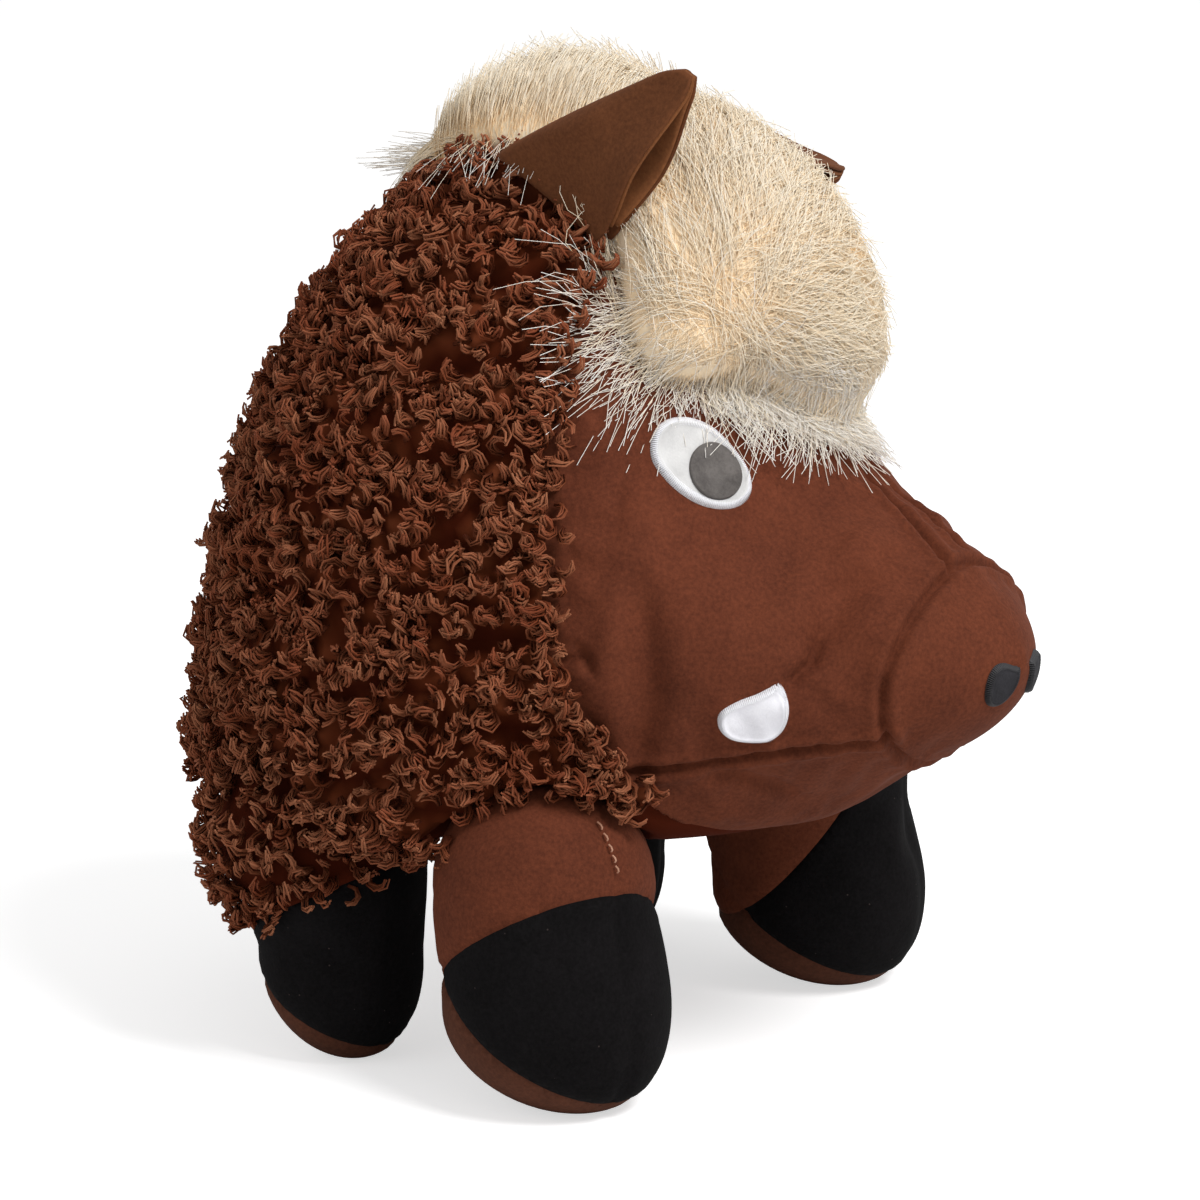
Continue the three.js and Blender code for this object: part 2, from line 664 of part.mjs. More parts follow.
/** Velour face: cheeks, bridge strip, chin and nose cap. */
function face() {
  const shell = cleared(bodyLayer(CLOTH_INSIDE, FACE_OUTSIDE).intersect(faceSpace(-SEAM_GAP / 2)));
  const noseSlope = 1 / NOSE_SEAM_LEAN;
  const noseNormal = new THREE.Vector3(noseSlope, 0, -1).normalize();
  const noseSeam = new THREE.Vector3(NOSE_SEAM_X, 0, MOUTH_Z);
  const ahead = beyond(noseSeam.clone().addScaledVector(noseNormal, SEAM_GAP / 2), noseNormal);
  const behind = beyond(
    noseSeam.clone().addScaledVector(noseNormal, -SEAM_GAP / 2), noseNormal.clone().negate(),
  );
  const muzzle = shell.intersect(behind);
  const chin = muzzle.intersect(beyondSlope(NOSE_SEAM_X, MOUTH_Z - SEAM_GAP / 2, MOUTH_SLOPE, false));
  const upper = muzzle.intersect(beyondSlope(NOSE_SEAM_X, MOUTH_Z + SEAM_GAP / 2, MOUTH_SLOPE, true));
  const strip = (halfWidth) => {
    const slab = new THREE.BoxGeometry(2 * FAR, 2 * halfWidth, FAR);
    return solidOf(slab.translate(0, 0, SNOUT_AXIS_Z + FAR / 2));
  };
  const cheeks = upper.subtract(strip(BRIDGE_HALF_WIDTH + SEAM_GAP / 2));
  const cheek = ([name, side]) => (
    piece(`cheek_panel_${name}`, cheeks.intersect(besideMiddle(side)), 'velour')
  );
  return group(
    ...SIDES.map(cheek),
    piece('bridge_gusset', upper.intersect(strip(BRIDGE_HALF_WIDTH - SEAM_GAP / 2)), 'velour'),
    piece('chin_gusset', chin, 'velour'),
    piece('nose_cap', shell.intersect(ahead), 'velour'),
  );
}

/** The front of the body at a place on the face. */
const faceAt = (y, z) => surfaceAlong(new THREE.Vector3(CORE_X, y, z), new THREE.Vector3(1, 0, 0));

/** The prism of an ellipse in the eye's own axes. */
function eyePrism(side, forward, longRadius, shortRadius) {
  const eye = faceAt(side * EYE_Y, EYE_Z);
  const outline = ellipse(forward, 0, longRadius, shortRadius);
  return patchPrism(side, outline, eye, -EYE_TILT);
}

/** Eyes, tusks and nostrils. */
function features() {
  const whiteTop = LAYER_GAP + PATCH_THICKNESS;
  const pupilTop = whiteTop + LAYER_GAP + PUPIL_THICKNESS;
  const pieces = SIDES.flatMap(([name, side]) => {
    const white = eyePrism(side, 0, EYE_LONG_RADIUS, EYE_SHORT_RADIUS);
    const pupil = eyePrism(side, PUPIL_FORWARD, PUPIL_RADIUS, PUPIL_RADIUS);
    const cheek = surfaceAlong(new THREE.Vector3(TUSK_X, 0, TUSK_Z), new THREE.Vector3(0, side, 0));
    const tusk = patchPrism(side, tuskShape(), cheek, 0);
    const nose = faceAt(side * NOSTRIL_Y, NOSTRIL_Z);
    const nostril = patchPrism(side, nostrilShape(), nose, 0);
    return [
      piece(`eye_white_${name}`, patch(white, LAYER_GAP, whiteTop), 'white'),
      piece(`eye_pupil_${name}`, patch(pupil, whiteTop + LAYER_GAP, pupilTop), 'dark'),
      piece(`tusk_${name}`, patch(tusk, LAYER_GAP, whiteTop), 'white'),
      piece(`nostril_${name}`, patch(nostril, LAYER_GAP, whiteTop), 'dark'),
    ];
  });
  return group(...pieces);
}

/** Forelock and crest, seated on the cloth below them. */
function mane() {
  const underFleece = bodyForm(LAYER_GAP).subtract(faceSpace(-SEAM_GAP / 2));
  const underFace = bodyForm(FACE_OUTSIDE + LAYER_GAP);
  const roomForEyes = SIDES.map(([, side]) => (
    eyePrism(side, 0, EYE_LONG_RADIUS + LAYER_GAP, EYE_SHORT_RADIUS + LAYER_GAP)
  ));
  const seated = (strip) => [underFleece, underFace, ...roomForEyes, ...earGrooves]
    .reduce((rest, cutter) => rest.subtract(cutter), strip);
  return group(
    piece('mane_forelock', seated(tuft(FORELOCK)), 'mane'),
    piece('mane_crest', seated(tuft(CREST)), 'mane'),
  );
}

/** A closed turned form from its half profile, standing on its axis inside the body. */
function turned(profile) {
  const geometry = new THREE.LatheGeometry(profile.map(([radius, z]) => new THREE.Vector2(radius, z)), 14);
  geometry.rotateX(Math.PI / 2);
  geometry.translate(SQUEAKER_X, 0, SQUEAKER_Z);
  return facingOut(geometry.index ? geometry : mergeVertices(geometry));
}

/** The bulb's half profile, drawn in by a wall. */
function bulbArc(wall) {
  const arc = [];
  for (let step = 0; step <= 6; step += 1) {
    const angle = degrees(-90 + step * 25);
    arc.push([
      step === 0 ? 0 : (BULB_RADIUS - wall) * Math.cos(angle),
      (BULB_HALF_LENGTH - wall) * Math.sin(angle),
    ]);
  }
  return arc;
}

const NECK_TOP = BULB_HALF_LENGTH + BULB_NECK_LENGTH;

/** Squeaker: an open bulb and the reed plug in its neck. */
function squeaker() {
  const neckBore = BULB_NECK_RADIUS - BULB_WALL;
  const outside = [...bulbArc(0), [BULB_NECK_RADIUS, NECK_TOP]];
  const inside = [...bulbArc(BULB_WALL), [neckBore, NECK_TOP]];
  const bulb = turned([...outside, ...inside.reverse()]);
  const stem = neckBore - LAYER_GAP;
  const seat = NECK_TOP + LAYER_GAP;
  const plug = turned([
    [PLUG_BORE_RADIUS, seat - PLUG_LENGTH], [stem, seat - PLUG_LENGTH], [stem, seat],
    [PLUG_FLANGE_RADIUS, seat], [PLUG_FLANGE_RADIUS, seat + PLUG_FLANGE_THICKNESS],
    [PLUG_BORE_RADIUS, seat + PLUG_FLANGE_THICKNESS], [PLUG_BORE_RADIUS, seat - PLUG_LENGTH],
  ]);
  return group(piece('squeaker_bulb', bulb, 'bulb'), piece('squeaker_reed_plug', plug, 'plug'));
}

/** The pocket that the squeaker lies in. */
function squeakerPocket() {
  const top = NECK_TOP + LAYER_GAP + PLUG_FLANGE_THICKNESS + LAYER_GAP;
  const neck = BULB_NECK_RADIUS + LAYER_GAP;
  return turned([...bulbArc(-LAYER_GAP), [neck, top], [0, top]]);
}

/** Fibre filling of the body, in two halves around the squeaker, and of the head. */
function filling() {
  const core = cleared(bodyForm(STUFFING_OUTSIDE));
  const head = core.intersect(faceSpace(-LAYER_GAP / 2));
  const trunk = core.subtract(faceSpace(LAYER_GAP / 2)).subtract(squeakerPocket());
  const half = ([name, side]) => (
    piece(`body_stuffing_${name}`, trunk.intersect(besideMiddle(side)), 'stuffing')
  );
  return group(...SIDES.map(half), piece('head_stuffing', head, 'stuffing'));
}

/** One leg: sleeve, hoof, sole and filling. */
function legPieces(name, leg, side, sleeveFinish) {
  const outside = legForm(leg, side, 0);
  const velour = outside.subtract(legForm(leg, side, -VELOUR_THICKNESS));
  const sleeve = outside.subtract(legForm(leg, side, -leg.sleeveThickness));
  const rising = new THREE.Vector3(-leg.seamSlope, -side * leg.seamRoll, 1);
  const seam = (shift, up) => beyond(
    new THREE.Vector3(leg.hoofX, side * leg.hoofY, leg.seamZ + shift),
    rising.clone().multiplyScalar(up ? 1 : -1),
  );
  const sole = (shift, up) => beyondSlope(leg.hoofX, leg.soleZ + shift, leg.soleSlope, up);
  const half = SEAM_GAP / 2;
  const filling = legForm(leg, side, -leg.sleeveThickness - LAYER_GAP);
  return group(
    piece(`${name}_sleeve`, sleeve.intersect(seam(half, true)), sleeveFinish),
    piece(`${name}_hoof`, velour.intersect(seam(-half, false)).intersect(sole(half, true)), 'hoof'),
    piece(`${name}_sole`, velour.intersect(sole(-half, false)), 'sole'),
    piece(`${name}_stuffing`, filling, 'stuffing'),
  );
}

/** Both ears, one upright and one fallen to the side. */
function ears() {
  const droops = { right: RIGHT_EAR_DROOP, left: LEFT_EAR_DROOP };
  return group(...SIDES.map(([name, side]) => {
    const { outer, lining } = ear(side, droops[name]);
    return group(piece(`ear_${name}_outer`, outer, 'velour'), piece(`ear_${name}_lining`, lining, 'lining'));
  }));
}

const toy = group(
  coat(), face(), features(), mane(), filling(), squeaker(), ears(),
  ...SIDES.flatMap(([name, side]) => [
    legPieces(`front_leg_${name}`, side > 0 ? FRONT_LEFT_LEG : FRONT_LEG, side, 'velour'),
    legPieces(`rear_leg_${name}`, REAR_LEG, side, 'fleece'),
  ]),
);

const box = new THREE.Box3().setFromObject(toy);
toy.position.x = -(box.min.x + box.max.x) / 2;

export default toy;
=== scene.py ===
"""Plush warthog dog toy: velour, curly fleece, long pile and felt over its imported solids.

Shapes are worked out in millimetres in the toy's pattern frame (+X to the nose, +Y to its
left, +Z up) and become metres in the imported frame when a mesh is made.
"""

import json
import logging
from dataclasses import dataclass, field, replace
from enum import Enum
from math import ceil, cos, hypot, pi, radians, sin, sqrt
from typing import Any, Optional, Sequence

import bmesh
import bpy
import numpy as np
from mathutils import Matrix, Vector
from mathutils.bvhtree import BVHTree
from mathutils.kdtree import KDTree
from numpy.linalg import norm


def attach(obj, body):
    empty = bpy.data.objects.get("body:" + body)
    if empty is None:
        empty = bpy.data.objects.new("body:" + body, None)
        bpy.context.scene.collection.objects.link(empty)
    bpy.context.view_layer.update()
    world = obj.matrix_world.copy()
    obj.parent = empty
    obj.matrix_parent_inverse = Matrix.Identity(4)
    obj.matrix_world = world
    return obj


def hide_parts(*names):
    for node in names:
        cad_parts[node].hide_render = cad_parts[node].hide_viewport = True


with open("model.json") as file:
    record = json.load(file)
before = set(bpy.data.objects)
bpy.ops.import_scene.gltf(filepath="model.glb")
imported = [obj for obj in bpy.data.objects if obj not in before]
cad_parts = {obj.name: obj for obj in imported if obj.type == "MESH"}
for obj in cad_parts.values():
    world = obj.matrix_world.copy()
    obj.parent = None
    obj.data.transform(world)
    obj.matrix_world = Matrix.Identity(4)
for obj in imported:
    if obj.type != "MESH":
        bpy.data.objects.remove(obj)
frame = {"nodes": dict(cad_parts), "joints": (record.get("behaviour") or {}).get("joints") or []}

LOG = logging.getLogger("warthog")
MM = 0.001
FRONT_HIP_X = 25.0
Array = np.ndarray
Piece = bpy.types.Object
Finish = bpy.types.Material
Pair = tuple[float, float]
Triple = tuple[float, float, float]


class Side(Enum):
    """The toy's two sides, by the sign of Y."""

    RIGHT = -1
    LEFT = 1

    @property
    def word(self) -> str:
        """The side's name as the solids' names spell it."""
        return self.name.lower()


class Slot(Enum):
    """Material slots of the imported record."""

    FLEECE = "curly_fleece"
    VELOUR = "brown_velour"
    HOOF = "black_velour"
    SOLE = "sole_velour"
    LINING = "ear_lining"
    FUR = "long_pile_fur"
    WHITE = "white_felt"
    DARK = "dark_felt"
    BULB = "squeaker_plastic"
    REED = "reed_plastic"


# Numbers and meshes


def pattern_shift() -> float:
    """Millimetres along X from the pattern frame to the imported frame."""
    hip = next(j for j in frame["joints"] if j["name"] == "front_hip_right")
    return hip["pos_m"][0] / MM - FRONT_HIP_X


SHIFT = np.array([pattern_shift(), 0.0, 0.0])


def unit(vectors: Array) -> Array:
    """Vectors of length one."""
    return vectors / np.maximum(norm(vectors, axis=-1, keepdims=True), 1e-9)


def along_cloth(ways: Array, normals: Array) -> Array:
    """Ways turned to lie along the cloth, as unit vectors."""
    return unit(ways - normals * (ways * normals).sum(axis=1, keepdims=True))


def smooth_min(a: Array, b: Array, reach: float) -> Array:
    """The smaller of two fields, rounded where they meet."""
    mix = np.maximum(reach - np.abs(a - b), 0.0) / reach
    return np.minimum(a, b) - mix * mix * reach / 4


def smooth_step(value: Array, low: float, high: float) -> Array:
    """A soft step from 0 at low to 1 at high."""
    share = np.clip((np.asarray(value, float) - low) / (high - low), 0.0, 1.0)
    return share * share * (3 - 2 * share)


def split_triangles(points: Array, triangles: Array) -> tuple[Array, Array]:
    """Cut every triangle into four.

    Args:
        points: One row of values per vertex.
        triangles: Three vertex numbers per triangle.

    Returns:
        The points with the middles of the edges, and the smaller triangles.
    """
    edges = np.sort(triangles[:, [[0, 1], [1, 2], [2, 0]]].reshape(-1, 2), axis=1)
    unique, inverse = np.unique(edges, axis=0, return_inverse=True)
    middle = len(points) + inverse.reshape(-1, 3)
    a, b, c = triangles.T
    ab, bc, ca = middle.T
    corners = [(a, ab, ca), (b, bc, ab), (c, ca, bc), (ab, bc, ca)]
    finer = np.concatenate([np.stack(corner, axis=1) for corner in corners])
    return np.vstack([points, points[unique].mean(axis=1)]), finer


def even_directions(level: int) -> tuple[Array, Array]:
    """Directions spread evenly over a sphere, and the triangles between them.

    Args:
        level: How often an icosahedron is split.

    Returns:
        Unit vectors and triangles that face outwards.
    """
    ball = bmesh.new()
    bmesh.ops.create_icosphere(ball, subdivisions=level, radius=1.0)
    directions = np.array([vertex.co for vertex in ball.verts])
    triangles = np.array([[vertex.index for vertex in face.verts] for face in ball.faces])
    ball.free()
    return unit(directions), triangles


def smoothed(values: Array, triangles: Array, rounds: int) -> Array:
    """Even out values over a mesh.

    Args:
        values: One row per vertex.
        triangles: Three vertex numbers per triangle.
        rounds: How often each value moves to its neighbours' mean.

    Returns:
        The smoother values.
    """
    pairs = triangles[:, [[0, 1], [1, 2], [2, 0]]].reshape(-1, 2)
    count = np.bincount(pairs[:, 0], minlength=len(values)).astype(float)
    for _ in range(rounds):
        total = np.zeros_like(values)
        np.add.at(total, pairs[:, 0], values[pairs[:, 1]])
        values = (values + total / np.maximum(count, 1.0)[:, None]) / 2
    return values


def used_only(points: Array, triangles: Array) -> tuple[Array, Array]:
    """Drop the points that no triangle uses."""
    kept, renumbered = np.unique(triangles, return_inverse=True)
    return points[kept], renumbered.reshape(triangles.shape)


def closed_to(points: Array, triangles: Array, apex: Sequence[float]) -> tuple[Array, Array]:
    """Close a cloth panel behind its open edge with a fan to a point inside the toy.

    Args:
        points: The panel's points.
        triangles: The panel's triangles.
        apex: The point inside.

    Returns:
        Points and triangles of a closed form.
    """
    edges = triangles[:, [[0, 1], [1, 2], [2, 0]]].reshape(-1, 2)
    code = edges[:, 0].astype(np.int64) * len(points) + edges[:, 1]
    back = edges[:, 1].astype(np.int64) * len(points) + edges[:, 0]
    rim = edges[~np.isin(code, back)]
    fan = np.stack([rim[:, 1], rim[:, 0], np.full(len(rim), len(points))], axis=1)
    return np.vstack([points, np.asarray(apex, float)[None]]), np.vstack([triangles, fan])


def grid_faces(rows: int, columns: int, closed: bool) -> list[tuple[int, ...]]:
    """Quads of a grid of points.

    Args:
        rows: Rows of points.
        columns: Points in a row.
        closed: Whether the last column joins the first.

    Returns:
        Four point numbers per quad.
    """
    faces = []
    for row in range(rows - 1):
        for column in range(columns if closed else columns - 1):
            after = (column + 1) % columns
            low, high = row * columns, (row + 1) * columns
            faces.append((low + column, low + after, high + after, high + column))
    return faces


def distance_to_line(points: Array, line: Array) -> tuple[Array, Array]:
    """How far points are from a line of segments.

    Args:
        points: Points to measure.
        line: The line's corners.

    Returns:
        Distances, and how far along the line the nearest place is.
    """
    best = np.full(len(points), np.inf)
    along = np.zeros(len(points))
    done = 0.0
    for start, end in zip(line[:-1], line[1:]):
        run = end - start
        length = norm(run)
        share = np.clip((points - start) @ run / max(length**2, 1e-9), 0.0, 1.0)
        far = norm(points - start - share[:, None] * run, axis=1)
        along = np.where(far < best, done + share * length, along)
        best = np.minimum(best, far)
        done += length
    return best, along


def lengths_along(line: Array) -> Array:
    """How far along a line each of its points is."""
    return np.concatenate([[0.0], np.cumsum(norm(np.diff(line, axis=0), axis=1))])


def points_along(line: Array, stops: Array) -> Array:
    """Points at given lengths along a line."""
    run = lengths_along(line)
    return np.stack([np.interp(stops, run, column) for column in line.T], axis=1)


def linked(name: str, data: Any) -> Piece:
    """A new object in the scene."""
    piece = bpy.data.objects.new(name, data)
    bpy.context.scene.collection.objects.link(piece)
    return piece


def make_piece(name: str, points: Array, faces: Sequence[Sequence[int]], finish: Finish) -> Piece:
    """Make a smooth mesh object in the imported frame.

    Args:
        name: The piece's name.
        points: Points in the pattern frame, in millimetres, then any share of height and tone.
        faces: Point numbers per face.
        finish: The piece's material.

    Returns:
        The object, linked to the scene.
    """
    mesh = bpy.data.meshes.new(name)
    placed = (np.asarray(points, float)[:, :3] + SHIFT) * MM
    mesh.from_pydata(placed.tolist(), [], faces.tolist() if isinstance(faces, Array) else faces)
    for attribute, values in zip(("along", "tone"), points.T[3:]):
        layer = mesh.attributes.new(attribute, "FLOAT", "POINT")
        layer.data.foreach_set("value", values.astype(np.float32))
    mesh.update()
    mesh.polygons.foreach_set("use_smooth", np.ones(len(mesh.polygons), bool))
    mesh.materials.append(finish)
    return linked(name, mesh)


def face_outwards(piece: Piece) -> None:
    """Turn a closed mesh's faces to point outwards.

    Args:
        piece: The mesh object.
    """
    work = bmesh.new()
    work.from_mesh(piece.data)
    bmesh.ops.recalc_face_normals(work, faces=work.faces)
    work.to_mesh(piece.data)
    work.free()


def cushion(name: str, top: Array, under: Array, closed: bool, finish: Finish) -> Piece:
    """Close two like grids of points into one body.

    Args:
        name: The piece's name.
        top: The upper side's points by row and column.
        under: The lower side's points.
        closed: Whether the last column joins the first, round a middle.
        finish: The piece's material.

    Returns:
        The piece.
    """
    rows, columns = top.shape[:2]
    count = rows * columns
    upper = grid_faces(rows, columns, closed)
    rim = list(range(count - columns, count))
    if closed:
        upper.append(tuple(range(columns)))
    else:
        right, left = range(2 * columns - 1, count, columns), range(0, count - columns, columns)
        rim = [*range(columns), *right, *rim[-2::-1], *reversed(left[1:])]
    faces = upper + [tuple(count + corner for corner in reversed(face)) for face in upper]
    faces += [(a, b, count + b, count + a) for a, b in zip(rim, rim[1:] + rim[:1])]
    piece = make_piece(name, np.vstack([top.reshape(-1, 3), under.reshape(-1, 3)]), faces, finish)
    face_outwards(piece)
    return piece


def settle(piece: Piece, body: str, slot: Slot, *nodes: str) -> None:
    """Put a finished piece on its body and hide the solids it stands for.

    Args:
        piece: The finished piece.
        body: The body it moves with.
        slot: Not used.
        nodes: The solids it replaces.
    """
    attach(piece, body)
    if nodes:
        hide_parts(*nodes)
    LOG.info("%s rides on %s, %d faces", piece.name, body, len(piece.data.polygons))


# Finishes


def linear(colour: str) -> tuple[float, float, float, float]:
    """Turn an sRGB hex colour into linear red, green, blue and an alpha of one."""
    parts = [int(colour[place : place + 2], 16) / 255 for place in (1, 3, 5)]
    return (*(c / 12.92 if c <= 0.04045 else ((c + 0.055) / 1.055) ** 2.4 for c in parts), 1.0)


def add_node(
    tree: bpy.types.NodeTree,
    kind: str,
    settings: Optional[dict[str, Any]] = None,
    inputs: Optional[dict[Any, Any]] = None,
) -> bpy.types.Node:
    """Add a node with its settings and links.

    Args:
        tree: The tree that gets the node.
        kind: The node's type name.
        settings: Properties to set on the node.
        inputs: Values for its sockets, or the output sockets that feed them.

    Returns:
        The new node.
    """
    node = tree.nodes.new(kind)
    for name, value in (settings or {}).items():
        setattr(node, name, value)
    for name, value in (inputs or {}).items():
        if isinstance(value, bpy.types.NodeSocket):
            tree.links.new(value, node.inputs[name])
        else:
            node.inputs[name].default_value = value
    return node


def new_material(name: str, surface: dict[str, Any]) -> tuple[Finish, bpy.types.NodeTree, bpy.types.Node]:
    """A node material with a plain surface.

    Args:
        name: The finish's name.
        surface: Values for the sockets of its surface shader.

    Returns:
        The material, its tree and its surface shader.
    """
    material = bpy.data.materials.new(name)
    material.use_nodes = True
    shader = material.node_tree.nodes["Principled BSDF"]
    for socket, value in surface.items():
        shader.inputs[socket].default_value = value
    return material, material.node_tree, shader


def set_ramp(node: bpy.types.Node, stops: Sequence[tuple[float, str]]) -> None:
    """Give a colour ramp its stops.

    Args:
        node: The ramp node.
        stops: Places from 0 to 1 with their colours.
    """
    elements = node.color_ramp.elements
    while len(elements) < len(stops):
        elements.new(0.5)
    for element, (place, colour) in zip(elements, stops):
        element.position = place
        element.color = linear(colour)


def per_mm(size: float) -> float:
    """A texture's scale for features of a size in millimetres."""
    return 1 / (size * MM)


@dataclass(frozen=True)
class Velour:
    """Brushed knitted velour: a matt, short pile that shows its nap in soft lighter strokes."""

    name: str
    deep: str
    light: str
    sheen: float = 0.08
    gloss: float = 0.15
    lint: Optional[str] = None
    nap_mm: float = 16.0
    pile_mm: float = 1.1
    lint_mm: float = 4.2
    roughness: float = 0.88

    def material(self) -> Finish:
        """Build the finish as a material."""
        material, tree, shader = new_material(self.name, {
            "Roughness": self.roughness, "Specular IOR Level": self.gloss, "Sheen Weight": self.sheen,
            "Sheen Roughness": 0.45, "Sheen Tint": linear(self.light),
        })
        place = add_node(tree, "ShaderNodeTexCoord").outputs["Object"]
        strokes = {"Vector": place, "Scale": per_mm(self.nap_mm), "Detail": 4.0, "Roughness": 0.6}
        nap = add_node(tree, "ShaderNodeTexNoise", None, strokes)
        # Real pile is about 0.3 mm; it is drawn coarser so that its grain shows at this size
        grain = {"Vector": place, "Scale": per_mm(self.pile_mm), "Detail": 3.0, "Roughness": 0.65}
        pile = add_node(tree, "ShaderNodeTexNoise", None, grain)
        soft = add_node(tree, "ShaderNodeMath", {"operation": "MULTIPLY"}, {0: nap.outputs["Fac"], 1: 0.4})
        shares = {0: pile.outputs["Fac"], 1: 0.6, 2: soft.outputs[0]}
        both = add_node(tree, "ShaderNodeMath", {"operation": "MULTIPLY_ADD"}, shares)
        ramp = add_node(tree, "ShaderNodeValToRGB", None, {"Fac": both.outputs[0]})
        set_ramp(ramp, [(0.32, self.deep), (0.68, self.light)])
        colour = ramp.outputs["Color"]
        if self.lint:
            cells = {"Vector": place, "Scale": per_mm(self.lint_mm), "Randomness": 1.0}
            specks = add_node(tree, "ShaderNodeTexVoronoi", {"feature": "F1"}, cells).outputs["Distance"]
            speck = add_node(tree, "ShaderNodeMath", {"operation": "LESS_THAN"}, {0: specks, 1: 0.055})
            tones = {"Factor": speck.outputs[0], 6: colour, 7: linear(self.lint)}
            colour = add_node(tree, "ShaderNodeMix", {"data_type": "RGBA"}, tones).outputs[2]
        tree.links.new(colour, shader.inputs["Base Color"])
        relief = {"Height": both.outputs[0], "Strength": 0.35, "Distance": 0.4 * MM}
        bump = add_node(tree, "ShaderNodeBump", None, relief)
        tree.links.new(bump.outputs["Normal"], shader.inputs["Normal"])
        return material


@dataclass(frozen=True)
class Pile:
    """Loose fibres: each strand has its own tone and its own colour from root to tip, darker at the root as
    painted shade and lighter at the tip as a painted highlight.
    """

    name: str
    root: str
    body: str
    tip: str
    pale: str
    roughness: float
    sheen: float
    specular: float = 0.3

    def material(self) -> Finish:
        """Build the finish as a material."""
        material, tree, shader = new_material(self.name, {
            "Roughness": self.roughness, "Specular IOR Level": self.specular, "Sheen Weight": self.sheen,
            "Sheen Tint": linear(self.tip),
        })
        along = add_node(tree, "ShaderNodeAttribute", {"attribute_name": "along"}).outputs["Fac"]
        tone = add_node(tree, "ShaderNodeAttribute", {"attribute_name": "tone"}).outputs["Fac"]
        # Root to tip: painted shade at the root and a painted highlight at the tip, paler still on strands of
        # high tone
        ramp = add_node(tree, "ShaderNodeValToRGB", None, {"Fac": along})
        set_ramp(ramp, [(0.0, self.root), (0.4, self.body), (1.0, self.tip)])
        share = add_node(tree, "ShaderNodeMath", {"operation": "MULTIPLY"}, {0: tone, 1: along})
        tones = {"Factor": share.outputs[0], 6: ramp.outputs["Color"], 7: linear(self.pale)}
        mix = add_node(tree, "ShaderNodeMix", {"data_type": "RGBA"}, tones)
        tree.links.new(mix.outputs[2], shader.inputs["Base Color"])
        return material


@dataclass(frozen=True)
class Felt:
    """Pressed felt: matt, with a fine tangle of fibres and faint cloudy shade."""

    name: str
    deep: str
    light: str
    fibre_mm: float = 1.0
    cloud_mm: float = 7.0

    def material(self) -> Finish:
        """Build the finish as a material."""
        material, tree, shader = new_material(self.name, {"Roughness": 0.9, "Specular IOR Level": 0.2})
        place = add_node(tree, "ShaderNodeTexCoord").outputs["Object"]
        shade = {"Vector": place, "Scale": per_mm(self.cloud_mm), "Detail": 3.0}
        cloud = add_node(tree, "ShaderNodeTexNoise", None, shade).outputs["Fac"]
        tangle = {"Vector": place, "Scale": per_mm(self.fibre_mm), "Detail": 5.0, "Distortion": 1.5}
        fibre = add_node(tree, "ShaderNodeTexNoise", None, tangle).outputs["Fac"]
        both = add_node(tree, "ShaderNodeMath", {"operation": "MULTIPLY_ADD"}, {0: fibre, 1: 0.5, 2: cloud})
        ramp = add_node(tree, "ShaderNodeValToRGB", None, {"Fac": both.outputs[0]})
        set_ramp(ramp, [(0.45, self.deep), (0.95, self.light)])
        tree.links.new(ramp.outputs["Color"], shader.inputs["Base Color"])
        relief = {"Height": fibre, "Strength": 0.4, "Distance": 0.2 * MM}
        bump = add_node(tree, "ShaderNodeBump", None, relief)
        tree.links.new(bump.outputs["Normal"], shader.inputs["Normal"])
        return material


@dataclass(frozen=True)
class Plastic:
    """Blow-moulded soft plastic: a faint mould haze and a broad, dull gloss."""

    name: str
    deep: str
    light: str
    roughness: float
    haze_mm: float = 9.0

    def material(self) -> Finish:
        """Build the finish as a material."""
        material, tree, shader = new_material(self.name, {"Roughness": self.roughness})
        place = add_node(tree, "ShaderNodeTexCoord").outputs["Object"]
        cloud = {"Vector": place, "Scale": per_mm(self.haze_mm), "Detail": 2.0}
        haze = add_node(tree, "ShaderNodeTexNoise", None, cloud)
        ramp = add_node(tree, "ShaderNodeValToRGB", None, {"Fac": haze.outputs["Fac"]})
        set_ramp(ramp, [(0.3, self.deep), (0.7, self.light)])
        tree.links.new(ramp.outputs["Color"], shader.inputs["Base Color"])
        return material


